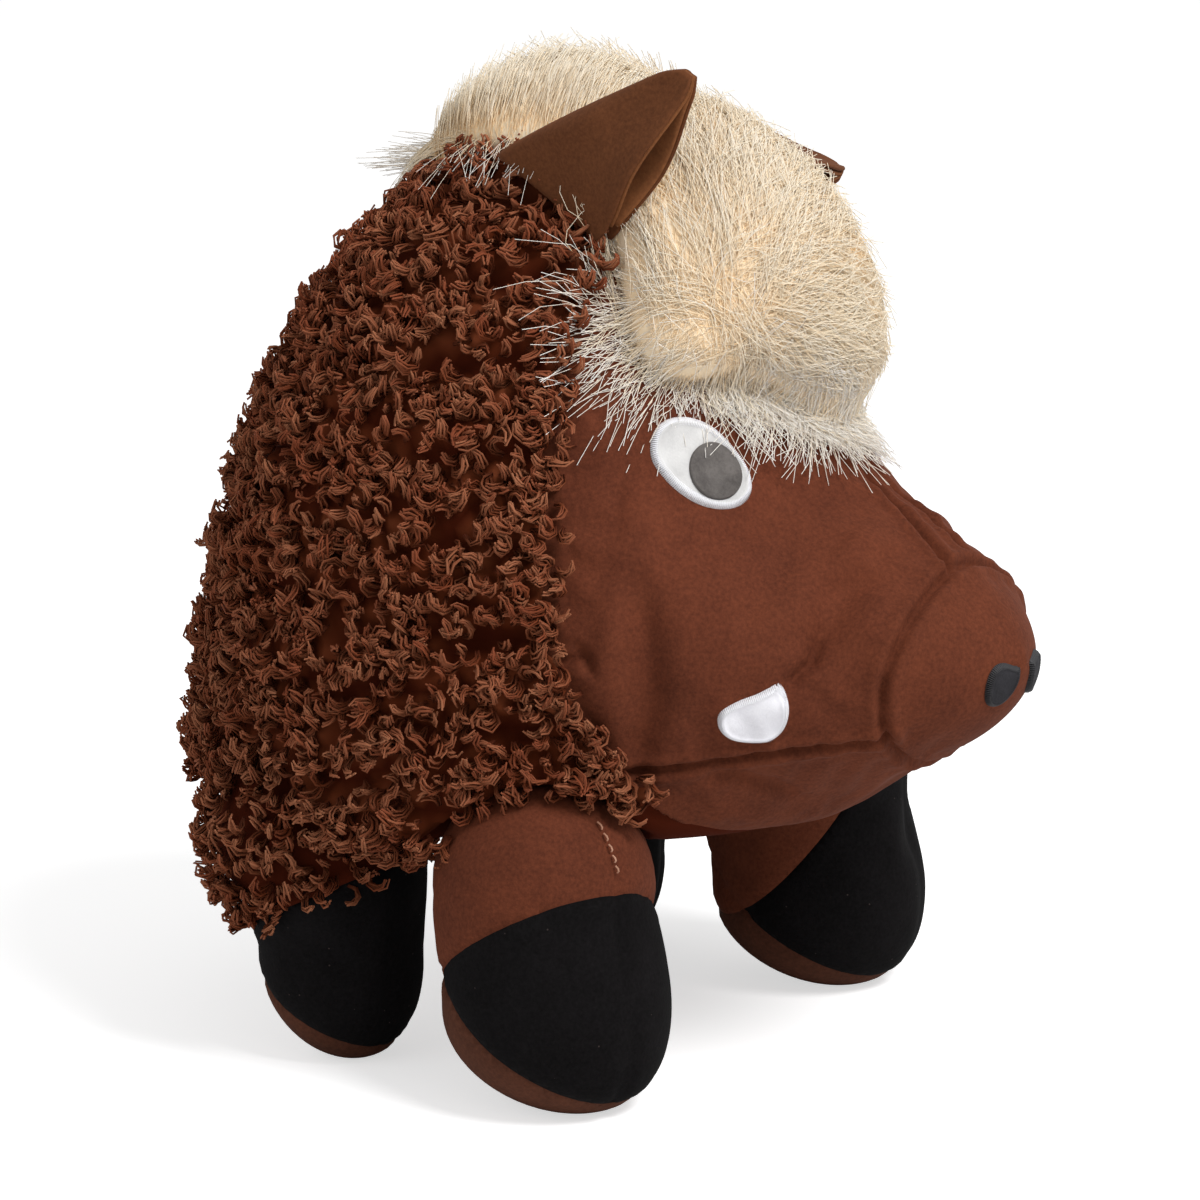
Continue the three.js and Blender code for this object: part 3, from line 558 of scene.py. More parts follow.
class Finishes:
    """Every finish on the toy."""

    def __init__(self) -> None:
        """Build the materials once."""
        # Brown velour: warm and matt, paler where the nap is brushed up
        self.velour = Velour("velour_brown", "#4e2516", "#6f3924", sheen=0.16).material()
        self.ear = Velour("velour_ear", "#54301b", "#724428", sheen=0.16).material()
        # Black velour: very dark with pale lint caught in the pile
        self.hoof = Velour(
            "velour_black", "#050404", "#151314", sheen=0.0, gloss=0.08, lint="#3a3230",
        ).material()
        self.sole = Velour("velour_sole", "#43261a", "#5e3727").material()
        self.lining = Velour("velour_ear_lining", "#6e4327", "#8a5734").material()
        # Fleece backing: the tufts' bodies, with painted shade nearly black in the gaps between them and a
        # painted highlight on their tops
        self.backing = Pile(
            "fleece_backing", "#46190a", "#5a2612", "#6c331b", "#80452b",
            roughness=0.9, sheen=0.0, specular=0.05,
        ).material()
        # Curly fleece: painted shade on the dark roots, reddish loops and a painted highlight on the paler
        # tips
        self.curls = Pile(
            "curly_fleece_pile", "#471c0c", "#70361d", "#8a4a31", "#a36a4c",
            roughness=0.8, sheen=0.06, specular=0.1,
        ).material()
        # Long-pile faux fur: warm honey roots and cream ends that catch the light
        self.mane = Pile(
            "long_pile_fur", "#fedba8", "#ffe6c0", "#fff0d6", "#fff8ea",
            roughness=0.9, sheen=0.0, specular=0.05,
        ).material()
        # Single ends of the same pile: paler against the dark cloth
        self.wisps = Pile(
            "long_pile_ends", "#fadfb4", "#f8e4c6", "#f5eadb", "#fbf8f2",
            roughness=0.8, sheen=0.0, specular=0.1,
        ).material()
        under = Felt("long_pile_under", "#f9dcb0", "#ffedd0", fibre_mm=2.0, cloud_mm=12.0)
        self.mane_under = under.material()
        self.white = Felt("felt_white", "#e9e8ee", "#fbfaff").material()
        self.eye_white = Felt("felt_eye_white", "#c6c5c4", "#dcdbda").material()
        self.dark = Felt("felt_charcoal", "#1d1c1e", "#333236").material()
        self.pupil = Felt("felt_pupil", "#4a4644", "#6f6a67").material()
        # Polyester thread: slightly glossy
        self.white_thread = Plastic("thread_white", "#ececf0", "#fbfbff", roughness=0.6).material()
        self.dark_thread = Plastic("thread_charcoal", "#1d1c1e", "#2c2b2e", roughness=0.6).material()
        self.tan_thread = Plastic("thread_tan", "#9a6a50", "#b98a70", roughness=0.6).material()
        self.bulb = Plastic("polyethylene_bulb", "#dedcd2", "#eceae2", roughness=0.45).material()
        self.reed = Plastic("polyethylene_reed", "#cfcfcf", "#dedede", roughness=0.4).material()


# Forms


@dataclass(frozen=True)
class BodyForm:
    """The body's outside: a leaning dome that swells into a snout."""

    centre_x: float = -19.5
    half_length: float = 93.0
    half_width: float = 95.0
    lean: float = 0.09
    waist_z: float = 80.0
    dome_height: float = 168.0
    dome_power: float = 2.2
    belly_depth: float = 22.0
    belly_power: float = 3.0
    snout_z: float = 117.0
    apex_x: float = 165.0
    height_slope: float = 0.545
    width_slope: float = 0.7
    full_reach: float = 103.0
    reach_blend: float = 16.0
    crest_power: float = 1.7
    nose_x: float = 135.5
    nose_lean: float = 0.12
    nose_rounding: float = 30.0
    neck_blend: float = 18.0
    core_x: float = 12.0
    step: float = 0.05
    ray_length: float = 260.0
    halvings: int = 22

    @property
    def core(self) -> Array:
        """The point inside from which every part of the surface can be seen."""
        return np.array([self.core_x, 0.0, self.snout_z])

    def field(self, p: Array) -> Array:
        """A distance-like field, negative inside."""
        return smooth_min(self.torso(p), self.snout(p), self.neck_blend)

    def torso(self, p: Array) -> Array:
        """The dome's field.

        Args:
            p: Points.

        Returns:
            One value per point.
        """
        rise = p[:, 2] - self.waist_z
        middle = self.centre_x + self.lean * rise
        across = np.hypot((p[:, 0] - middle) / self.half_length, p[:, 1] / self.half_width)
        up = np.maximum(rise, 0.0) / self.dome_height
        down = np.maximum(-rise, 0.0) / self.belly_depth
        dome = np.sqrt(across**2 + up**self.dome_power)
        belly = (across**self.belly_power + down**self.belly_power) ** (1 / self.belly_power)
        return (np.where(rise >= 0, dome, belly) - 1) * self.half_width

    def snout(self, p: Array) -> Array:
        """The snout's field.

        Args:
            p: Points.

        Returns:
            One value per point.
        """
        rise = (p[:, 2] - self.snout_z) / self.height_slope
        aside = np.abs(p[:, 1] / self.width_slope)
        power = np.where(rise > 0, self.crest_power, 2.0)
        section = (aside**power + np.abs(rise) ** power) ** (1 / power)
        reach = smooth_min(self.apex_x - p[:, 0], np.float64(self.full_reach), self.reach_blend)
        nose = p[:, 0] - self.nose_x + self.nose_lean * (p[:, 2] - self.snout_z)
        cone = -smooth_min(-(section - reach) * self.height_slope, -nose, self.nose_rounding)
        return np.maximum(cone, -p[:, 0])

    def slopes(self, p: Array) -> Array:
        """How much the field rises along each axis, from a step behind a point to a step ahead."""
        moves = self.step * np.eye(3)
        return np.stack([self.field(p + move) - self.field(p - move) for move in moves], axis=1)

    def normals(self, p: Array) -> Array:
        """Outward unit vectors at points on or near the surface."""
        return unit(self.slopes(p))

    def cast(self, origins: Array, directions: Array) -> Array:
        """Where rays from inside leave the surface.

        Args:
            origins: Points inside, or one for all rays.
            directions: Unit vectors.

        Returns:
            Points on the surface.
        """
        near = np.zeros(len(directions))
        far = np.full(len(directions), self.ray_length)
        for _ in range(self.halvings):
            middle = (near + far) / 2
            inside = self.field(origins + directions * middle[:, None]) < 0
            near, far = np.where(inside, middle, near), np.where(inside, far, middle)
        return origins + directions * near[:, None]

    def onto(self, p: Array, rounds: int = 3) -> Array:
        """Move points to the surface along its normals.

        Args:
            p: Points near the surface.
            rounds: How often each point is moved.

        Returns:
            Points on the surface.
        """
        for _ in range(rounds):
            slopes = self.slopes(p) / (2 * self.step)
            steep = np.maximum((slopes**2).sum(axis=1), 0.05)
            p = p - slopes * (self.field(p) / steep)[:, None]
        return p

    def toward(self, theta: Array, aside: Array) -> Array:
        """Surface points by their angles at the core.

        Args:
            theta: Degrees above the snout's axis, over the crown.
            aside: Degrees to the toy's left.

        Returns:
            Points on the surface.
        """
        t, s = np.radians(theta), np.radians(aside)
        directions = np.stack([np.cos(t) * np.cos(s), np.sin(s), np.sin(t) * np.cos(s)], axis=-1)
        return self.cast(self.core, directions)


BODY = BodyForm()


@dataclass(frozen=True)
class FaceOutline:
    """The seam between face and fleece, drawn from the side."""

    crown: Pair = (21.0, 240.0)
    cheek: Pair = (29.0, 140.0)
    bend: Pair = (32.0, 105.0)
    throat: Pair = (74.0, 58.0)
    belly_z: float = 66.0

    def ahead(self, p: Array) -> Array:
        """How far points lie ahead of the seam.

        Args:
            p: Points.

        Returns:
            Millimetres along X, negative behind the seam.
        """
        t = np.linspace(0.0, 1.0, 40)[:, None]
        a, b, c = (np.array(corner) for corner in (self.cheek, self.bend, self.throat))
        curve = (1 - t) ** 2 * a + 2 * t * (1 - t) * b + t**2 * c
        line = np.vstack([[self.crown[0], 400.0], self.crown, curve, [self.throat[0], -100.0]])[::-1]
        return p[:, 0] - np.interp(p[:, 2], line[:, 1], line[:, 0])


OUTLINE = FaceOutline()


@dataclass(frozen=True)
class LegForm:
    """A leg's outside: a round hip on a sleeve, a hoof and a small flat sole."""

    hip: Triple
    hip_radius: float
    hoof: Triple
    hoof_radius: float
    toe_shift: float
    seam_z: float
    sole_z: float
    seam_slope: float
    seam_roll: float
    sole_slope: float
    hoof_power: float = 2.1
    floor_cut: float = 0.5

    def section(self, z: float) -> Triple:
        """The leg's round section at a height.

        Args:
            z: Height above the floor, up to the hip.

        Returns:
            Radius, and the centre's X and Y (as on the left).
        """
        x, y, middle = self.hoof
        if z < middle:
            sunk = (middle - z) / (middle + self.floor_cut)
            radius = self.hoof_radius * (1 - sunk**self.hoof_power) ** (1 / self.hoof_power)
            return radius, x + self.toe_shift * sunk**2, y
        mix = float(smooth_step(z, middle, self.hip[2]))
        radius = self.hoof_radius + mix * (self.hip_radius - self.hoof_radius)
        return radius, x + mix * (self.hip[0] - x), y + mix * (self.hip[1] - y)

    def rings(self, sides: int) -> Array:
        """Rings of points from the sole's middle to the hip's top, as on the right side.

        Args:
            sides: Points in a ring.

        Returns:
            Points by ring and side.
        """
        around = np.linspace(0.0, 2 * pi, sides, endpoint=False)
        turn = np.stack([np.cos(around), np.sin(around), 0 * around], axis=1)
        levels = [(self.section(0.0), 0.0, share) for share in (0.02, 0.5)]
        low = self.hoof[2] * (1 - np.cos(np.linspace(0.0, pi / 2, 20)))
        high = np.linspace(self.hoof[2], self.hip[2], 16)[1:]
        levels += [(self.section(float(z)), float(z), 1.0) for z in (*low, *high)]
        for latitude in np.radians(np.linspace(0.0, 88.0, 12)[1:]):
            ring = (self.hip_radius * cos(latitude), self.hip[0], self.hip[1])
            levels.append((ring, self.hip[2] + self.hip_radius * sin(latitude), 1.0))
        return np.array([np.array([x, -y, z]) + radius * share * turn for (radius, x, y), z, share in levels])

    def above_seam(self, p: Array) -> Array:
        """How far points lie above the hoof's upper seam, negative on the hoof."""
        rise = self.seam_slope * (p[:, 0] - self.hoof[0]) + self.seam_roll * (np.abs(p[:, 1]) - self.hoof[1])
        return (p[:, 2] - self.seam_z - rise) / hypot(1.0, self.seam_slope, self.seam_roll)

    def above_sole(self, p: Array) -> Array:
        """How far points lie above the sole's seam, negative on the sole."""
        rise = self.sole_slope * (p[:, 0] - self.hoof[0])
        return (p[:, 2] - self.sole_z - rise) / hypot(1.0, self.sole_slope)


FRONT_LEG = LegForm(
    hip=(FRONT_HIP_X, 67.5, 58.0), hip_radius=29.0, hoof=(29.5, 68.5, 26.0), hoof_radius=29.8, toe_shift=7.0,
    seam_z=45.0, sole_z=19.0, seam_slope=0.62, seam_roll=0.3, sole_slope=-0.67,
)
REAR_LEG = LegForm(
    hip=(-49.0, 65.0, 60.0), hip_radius=30.0, hoof=(-43.0, 62.0, 28.0), hoof_radius=22.0, toe_shift=4.0,
    seam_z=46.0, sole_z=12.6, seam_slope=0.5, seam_roll=0.0, sole_slope=-0.53,
)
LEGS = {"front": FRONT_LEG, "rear": REAR_LEG}
# The left front hoof is sewn on with a twist: its seam rises forwards and outwards
FRONT_LEFT_LEG = replace(FRONT_LEG, seam_z=54.8, seam_slope=0.86, seam_roll=0.85)
# Each hip's ball: its middle and its radius
HIPS = [
    (np.array([leg.hip[0], side.value * leg.hip[1], leg.hip[2]]), leg.hip_radius)
    for leg in LEGS.values() for side in Side
]


# Strands: curls, long pile and stitches


@dataclass
class Strands:
    """Many fibres, each a line of points with a girth."""

    paths: Array
    girths: Array
    tones: Array

    def part(self, chosen: Array) -> "Strands":
        """Some of the fibres."""
        return Strands(self.paths[chosen], self.girths[chosen], self.tones[chosen])


class StrandMaker:
    """Turns lines of points into thin round fibres."""

    sides: int = 3

    def __init__(self) -> None:
        """Build the node tree once."""
        tree = bpy.data.node_groups.new("fibres_along_paths", "GeometryNodeTree")
        self.sockets: dict[str, str] = {}
        for name, kind in (("Paths", "Geometry"), ("Thickness", "Float"), ("Finish", "Material")):
            socket = tree.interface.new_socket(name, in_out="INPUT", socket_type="NodeSocket" + kind)
            self.sockets[name] = socket.identifier
        tree.interface.new_socket("Fibres", in_out="OUTPUT", socket_type="NodeSocketGeometry")
        given = add_node(tree, "NodeGroupInput").outputs
        girth = add_node(tree, "GeometryNodeInputNamedAttribute", {"data_type": "FLOAT"}, {"Name": "girth"})
        curve = add_node(tree, "GeometryNodeMeshToCurve", None, {"Mesh": given["Paths"]})
        widths = {"Curve": curve.outputs["Curve"], "Radius": girth.outputs["Attribute"]}
        sized = add_node(tree, "GeometryNodeSetCurveRadius", None, widths).outputs["Curve"]
        section = {"Resolution": self.sides, "Radius": given["Thickness"]}
        ring = add_node(tree, "GeometryNodeCurvePrimitiveCircle", {"mode": "RADIUS"}, section)
        swept = {"Curve": sized, "Profile Curve": ring.outputs["Curve"], "Fill Caps": True}
        tubes = add_node(tree, "GeometryNodeCurveToMesh", None, swept)
        real = add_node(tree, "GeometryNodeRealizeInstances", None, {"Geometry": tubes.outputs["Mesh"]})
        smooth = add_node(tree, "GeometryNodeSetShadeSmooth", None, {"Geometry": real.outputs["Geometry"]})
        finish = {"Geometry": smooth.outputs["Geometry"], "Material": given["Finish"]}
        dressed = add_node(tree, "GeometryNodeSetMaterial", None, finish)
        add_node(tree, "NodeGroupOutput", None, {"Fibres": dressed.outputs["Geometry"]})
        self.tree = tree

    def make(self, name: str, strands: Strands, thickness: float, finish: Finish) -> Piece:
        """Make one piece of fibres.

        Args:
            name: The piece's name.
            strands: The fibres' lines.
            thickness: Radius of a fibre of girth one, in millimetres.
            finish: The fibres' material.

        Returns:
            The piece, as a plain mesh.
        """
        count, points = strands.paths.shape[:2]
        mesh = bpy.data.meshes.new(name + "_paths")
        mesh.vertices.add(count * points)
        mesh.vertices.foreach_set("co", ((strands.paths + SHIFT) * MM).astype(np.float32).ravel())
        starts = np.arange(count)[:, None] * points + np.arange(points - 1)[None]
        mesh.edges.add(starts.size)
        ends = np.stack([starts, starts + 1], axis=-1)
        mesh.edges.foreach_set("vertices", ends.astype(np.int32).ravel())
        values = {
            "girth": strands.girths,
            "tone": np.repeat(strands.tones[:, None], points, axis=1),
            "along": np.repeat(np.linspace(0.0, 1.0, points)[None], count, axis=0),
        }
        for attribute, value in values.items():
            layer = mesh.attributes.new(attribute, "FLOAT", "POINT")
            layer.data.foreach_set("value", value.astype(np.float32).ravel())
        guide = linked(name + "_guide", mesh)
        modifier = guide.modifiers.new("fibres", "NODES")
        modifier.node_group = self.tree
        modifier[self.sockets["Thickness"]] = thickness * MM
        modifier[self.sockets["Finish"]] = finish
        seen = guide.evaluated_get(bpy.context.evaluated_depsgraph_get())
        made = bpy.data.meshes.new_from_object(seen)
        made.name = name
        bpy.data.objects.remove(guide)
        bpy.data.meshes.remove(mesh)
        return linked(name, made)


# Curly fleece


@dataclass
class CurlCoat:
    """Fleece in rows of tufts: fat commas of fine fibres that curl over each other."""

    row_pitch: float = 7.9
    tuft_pitch: float = 7.8
    edge_pitch: float = 4.4
    tuft_radius: float = 4.7
    locks: int = 6
    fibres: int = 6
    points: int = 5
    lock_radius: float = 1.15
    arc_radius: float = 2.5
    thickness: float = 0.33
    root_level: float = -3.4
    ridge_z: float = 72.0
    ridge_pitch: float = 21.0
    ridge_rise: float = 1.2
    lump_rise: float = 3.6
    lump_radius: float = 5.4
    seed: int = 11
    limit: int = 6000

    def __post_init__(self) -> None:
        """Place the tufts."""
        self.random = np.random.default_rng(self.seed)
        self.roots, self.normals = self.sites()
        self.ways = self.lie()
        self.tones = self.random.beta(1.4, 1.8, len(self.roots))

    def sites(self) -> tuple[Array, Array]:
        """Tufts in rows over the body, and close together along the face seam.

        Returns:
            Roots and normals.
        """
        core = np.array([-15.0, 0.0, 112.0])
        climb = np.radians(np.linspace(-38.0, 89.0, 260))
        ladder = np.stack([0 * climb, -np.cos(climb), np.sin(climb)], axis=1)
        rungs = BODY.cast(core, ladder)
        run = lengths_along(rungs)
        turn = np.linspace(0.0, 2 * pi, 181)
        roots = []
        for row, level in enumerate(np.arange(2.0, run[-1], self.row_pitch)):
            high = np.interp(level, run, climb) + np.radians(1.4) * np.sin(3 * turn + 2.1 * row)
            rays = np.stack([np.cos(turn) * np.cos(high), np.sin(turn) * np.cos(high), np.sin(high)], axis=1)
            ring = BODY.cast(core, rays)
            length = lengths_along(ring)
            count = max(int(length[-1] / self.tuft_pitch), 3)
            stops = np.arange(count) + self.random.uniform(-0.3, 0.3, count) + 0.5 * (row % 2)
            roots.append(points_along(ring, np.mod(stops / count, 1.0) * length[-1]))
        points = np.vstack(roots)
        points = BODY.onto(points + self.random.normal(0.0, 1.3, points.shape))
        seam = BODY.cast(BODY.core, even_directions(7)[0])
        seam = seam[np.abs(OUTLINE.ahead(seam) - 1.4) < 1.3]
        points = np.vstack([points, self.apart(seam, self.edge_pitch)])
        points = points[self.wanted(points)]
        normals = BODY.normals(points)
        return points + (self.root_level + self.ridge(points))[:, None] * normals, normals

    def ridge(self, points: Array) -> Array:
        """How far the coat's rows stand out, or sink between them."""
        return self.ridge_rise * np.cos(2 * pi * (points[:, 2] - self.ridge_z) / self.ridge_pitch)

    def apart(self, points: Array, gap: float) -> Array:
        """Some of the points, none closer to another than a gap.

        Args:
            points: Points to choose from.
            gap: The smallest distance, in millimetres.

        Returns:
            The chosen points.
        """
        chosen: list[int] = []
        for index in self.random.permutation(len(points)):
            if not chosen or norm(points[chosen] - points[index], axis=1).min() > gap:
                chosen.append(int(index))
        return points[chosen]

    def wanted(self, points: Array) -> Array:
        """Which places on the body carry fleece.

        Args:
            points: Points on the body.

        Returns:
            True where a tuft grows.
        """
        keep = (OUTLINE.ahead(points) < 2.7) & (points[:, 2] > OUTLINE.belly_z - 2.0)
        keep &= ~((points[:, 0] > 8.0) & (np.abs(points[:, 1]) < 62.0) & (points[:, 2] < 92.0))
        for hip, radius in HIPS:
            near = norm(points - hip, axis=1) < radius + 2.0
            under = norm((points - hip)[:, :2], axis=1) < radius + 1.0
            keep &= ~(near | (under & (points[:, 2] < hip[2])))
        return keep

    def lie(self) -> Array:
        """The ways the tufts lie: down, to and fro, and forwards over the face seam.

        Returns:
            Unit vectors along the cloth.
        """
        across = unit(np.cross(self.normals, np.array([0.0, 0.0, -1.0])))
        swing = self.random.normal(0.0, 1.0, len(across))[:, None]
        way = np.cos(swing) * np.cross(across, self.normals) + np.sin(swing) * across
        front = smooth_step(OUTLINE.ahead(self.roots), -14.0, -2.0)[:, None]
        way = way + 0.9 * front * np.array([1.0, 0.0, -0.2])
        return along_cloth(way, self.normals)

    def lumps(self, points: Array) -> tuple[Array, Array, Array]:
        """The tufts' bodies under their curls.

        Args:
            points: Points of the fleece's backing.

        Returns:
            How far each point swells, its share of its tuft's height (which also paints the backing's shade
            in the gaps and highlight on the tops), and the tuft's tone.
        """
        tree = KDTree(len(self.roots))
        for index, root in enumerate(self.roots):
            tree.insert(root, index)
        tree.balance()
        found = [tree.find(point) for point in points]
        nearest = np.array([index for _, index, _ in found])
        far = np.array([distance for _, _, distance in found])
        share = 1 - smooth_step(far, 0.5, self.lump_radius)
        rise = share * self.lump_rise * (0.8 + 0.5 * self.tones[nearest]) + self.ridge(points)
        return rise, share, self.tones[nearest]

    def grow(self, roots: Array, normals: Array, ways: Array, tones: Array) -> Strands:
        """Grow a tuft at each root: locks that curl up and over, each a round bundle of fibres.

        Args:
            roots: Tuft roots.
            normals: Normals there.
            ways: The ways the tufts lie.
            tones: The tufts' tones.

        Returns:
            The fibres.
        """
        random = self.random
        locks, fibres = (len(roots), self.locks, 1), (len(roots), self.locks, self.fibres)
        t = np.linspace(0.0, 1.0, self.points)
        radius = self.arc_radius * random.uniform(0.75, 1.3, locks) * random.uniform(0.94, 1.06, fibres)
        sweep = np.radians(random.uniform(130.0, 235.0, locks) + random.normal(0.0, 14.0, fibres))
        lean = random.uniform(0.35, 1.15, locks)
        turn = random.normal(0.0, 0.9, locks)
        bearing = random.uniform(0.0, 2 * pi, locks)
        out = np.sqrt(random.uniform(0.0, 1.5, locks))
        spread = self.tuft_radius * out
        loose = random.uniform(0.0, 1.0, fibres) < 0.14
        girth = random.uniform(0.7, 1.1, fibres) * np.where(loose, 0.5, 1.0)
        round_place = random.uniform(0.0, 2 * pi, fibres)
        off = self.lock_radius * random.uniform(0.75, 1.2, locks) * np.sqrt(random.uniform(0.2, 1.0, fibres))
        off = off * np.where(loose, 1.6, 1.0)
        tone = tones[:, None, None] + random.normal(0.0, 0.2, locks) + random.normal(0.0, 0.12, fibres)
        n, w = (vectors[:, None, None, :] for vectors in (normals, ways))
        s = np.cross(n, w)
        ahead, aside = np.cos(turn)[..., None], np.sin(turn)[..., None]
        along = ahead * w + aside * s
        across = (ahead * s - aside * w) * random.choice([-1.0, 1.0], locks)[..., None]
        up = np.cos(lean)[..., None] * across + np.sin(lean)[..., None] * n
        flat = np.cross(along, up)
        root = roots[:, None, None, :] + (spread * np.cos(bearing))[..., None] * w
        root = root + (spread * np.sin(bearing))[..., None] * s - (0.5 * radius)[..., None] * along
        angle = (sweep[..., None] * t)[..., None]
        twist = round_place[..., None] + 1.4 * t
        swell = off[..., None] * np.sin(pi * (0.1 + 0.76 * t)) ** 0.8
        ray = (radius[..., None] * (1 - 0.2 * t) + swell * np.cos(twist))[..., None]
        along, up, flat = (vectors[..., None, :] for vectors in (along, up, flat))
        paths = root[..., None, :] + radius[..., None, None] * up
        paths = paths + ray * (np.sin(angle) * along - np.cos(angle) * up)
        paths = paths + (swell * np.sin(twist))[..., None] * flat
        rise = 2.0 * (1 - out**2 / 1.5) + random.uniform(0.0, 1.2, locks)
        paths = paths + (1.2 * t + rise[..., None])[..., None] * n[..., None, :]
        paths = paths + random.normal(0.0, 0.12, paths.shape)
        girths = girth[..., None] * (1.0 - 0.45 * t**3)
        count = self.points
        return Strands(paths.reshape(-1, count, 3), girths.reshape(-1, count), np.clip(tone, 0, 1).ravel())

    def build(self, finishes: Finishes, maker: StrandMaker) -> None:
        """Make the coat's pieces on the body and on the rear legs.

        Args:
            finishes: The toy's materials.
            maker: Turns lines into fibres.
        """
        coat = self.grow(self.roots, self.normals, self.ways, self.tones)
        middle = coat.paths.mean(axis=1)
        for side in Side:
            flank = np.flatnonzero(middle[:, 1] * side.value > 0)
            order = flank[np.argsort(middle[flank, 2])]
            for number, chosen in enumerate(np.array_split(order, ceil(len(order) / self.limit)), 1):
                name = f"fleece_curls_{side.word}_{number}"
                curls = maker.make(name, coat.part(chosen), self.thickness, finishes.curls)
                settle(curls, "torso", Slot.FLEECE)
            leg = f"rear_leg_{side.word}"
            thigh = maker.make(f"{leg}_curls", self.thigh(side), self.thickness, finishes.curls)
            settle(thigh, leg, Slot.FLEECE)

    def thigh(self, side: Side) -> Strands:
        """Tufts on a rear leg's fleece sleeve, where it shows.

        Args:
            side: Which rear leg.

        Returns:
            The fibres.
        """
        points = REAR_LEG.rings(48)[14:].reshape(-1, 3) * np.array([1.0, -side.value, 1.0])
        points = points[(REAR_LEG.above_seam(points) > 0.5) & (BODY.field(points) > -5.0)]
        points = self.apart(points, 0.8 * self.tuft_pitch)
        middle = np.array([REAR_LEG.hoof[0], side.value * REAR_LEG.hoof[1], 0.0])
        normals = unit((points - middle) * np.array([1.0, 1.0, 0.0]))
        ways = np.array([0.0, 0.0, -1.0]) + self.random.normal(0.0, 0.4, points.shape)
        tones = self.random.beta(1.4, 1.8, len(points))
        return self.grow(points + self.root_level * normals, normals, along_cloth(ways, normals), tones)


# Stuffing pressure


@dataclass(frozen=True)
class Stuffing:
    """Fills a sewn cover: the cloth swells between its pinned seams."""

    pressure: float = 4.0
    cap: float = 4.0
    slack: float = 0.015
    frames: int = 20

    def swell(self, points: Array, triangles: Array, pinned: Array) -> Array:
        """Let a cover swell.

        Args:
            points: The cover's points, in millimetres.
            triangles: The cover's triangles.
            pinned: Which points the seams hold.

        Returns:
            How far each point moved, in millimetres.
        """
        mesh = bpy.data.meshes.new("cover_at_rest")
        mesh.from_pydata((points * MM).tolist(), [], triangles.tolist())
        cover = linked("cover_at_rest", mesh)
        seams = cover.vertex_groups.new(name="seams")
        seams.add(np.flatnonzero(pinned).tolist(), 1.0, "REPLACE")
        cloth = cover.modifiers.new("stuffing", "CLOTH")
        cloth.settings.quality = 6
        cloth.settings.mass = 0.25
        cloth.settings.tension_stiffness = 12.0
        cloth.settings.compression_stiffness = 12.0
        cloth.settings.bending_stiffness = 0.6
        cloth.settings.use_pressure = True
        cloth.settings.uniform_pressure_force = self.pressure
        cloth.settings.shrink_min = -self.slack
        cloth.settings.vertex_group_mass = seams.name
        cloth.settings.effector_weights.gravity = 0.0
        cloth.collision_settings.use_collision = False
        cloth.point_cache.frame_start = 1
        cloth.point_cache.frame_end = self.frames
        scene = bpy.context.scene
        for step in range(1, self.frames + 1):
            scene.frame_set(step)
        seen = cover.evaluated_get(bpy.context.evaluated_depsgraph_get())
        moved = np.zeros(len(points) * 3)
        seen.data.vertices.foreach_get("co", moved)
        scene.frame_set(1)
        bpy.data.objects.remove(cover)
        bpy.data.meshes.remove(mesh)
        move = moved.reshape(-1, 3) / MM - points
        length = norm(move, axis=1, keepdims=True)
        return move * np.minimum(1.0, self.cap / np.maximum(length, 1e-6))


# Body covers


@dataclass(frozen=True)
class Crease:
    """A line where the cloth sinks, or swells where its depth is negative."""

    line: tuple[Triple, ...]
    depth: float
    width: float

    def sink(self, points: Array) -> Array:
        """How far the line pulls points in.

        Args:
            points: Points on the cloth.

        Returns:
            Millimetres inwards.
        """
        corners = np.array(self.line)
        far, along = distance_to_line(points, corners)
        ends = np.sin(pi * np.clip(along / lengths_along(corners)[-1], 0.04, 0.96)) ** 0.6
        return self.depth * np.exp(-((far / self.width) ** 2)) * ends


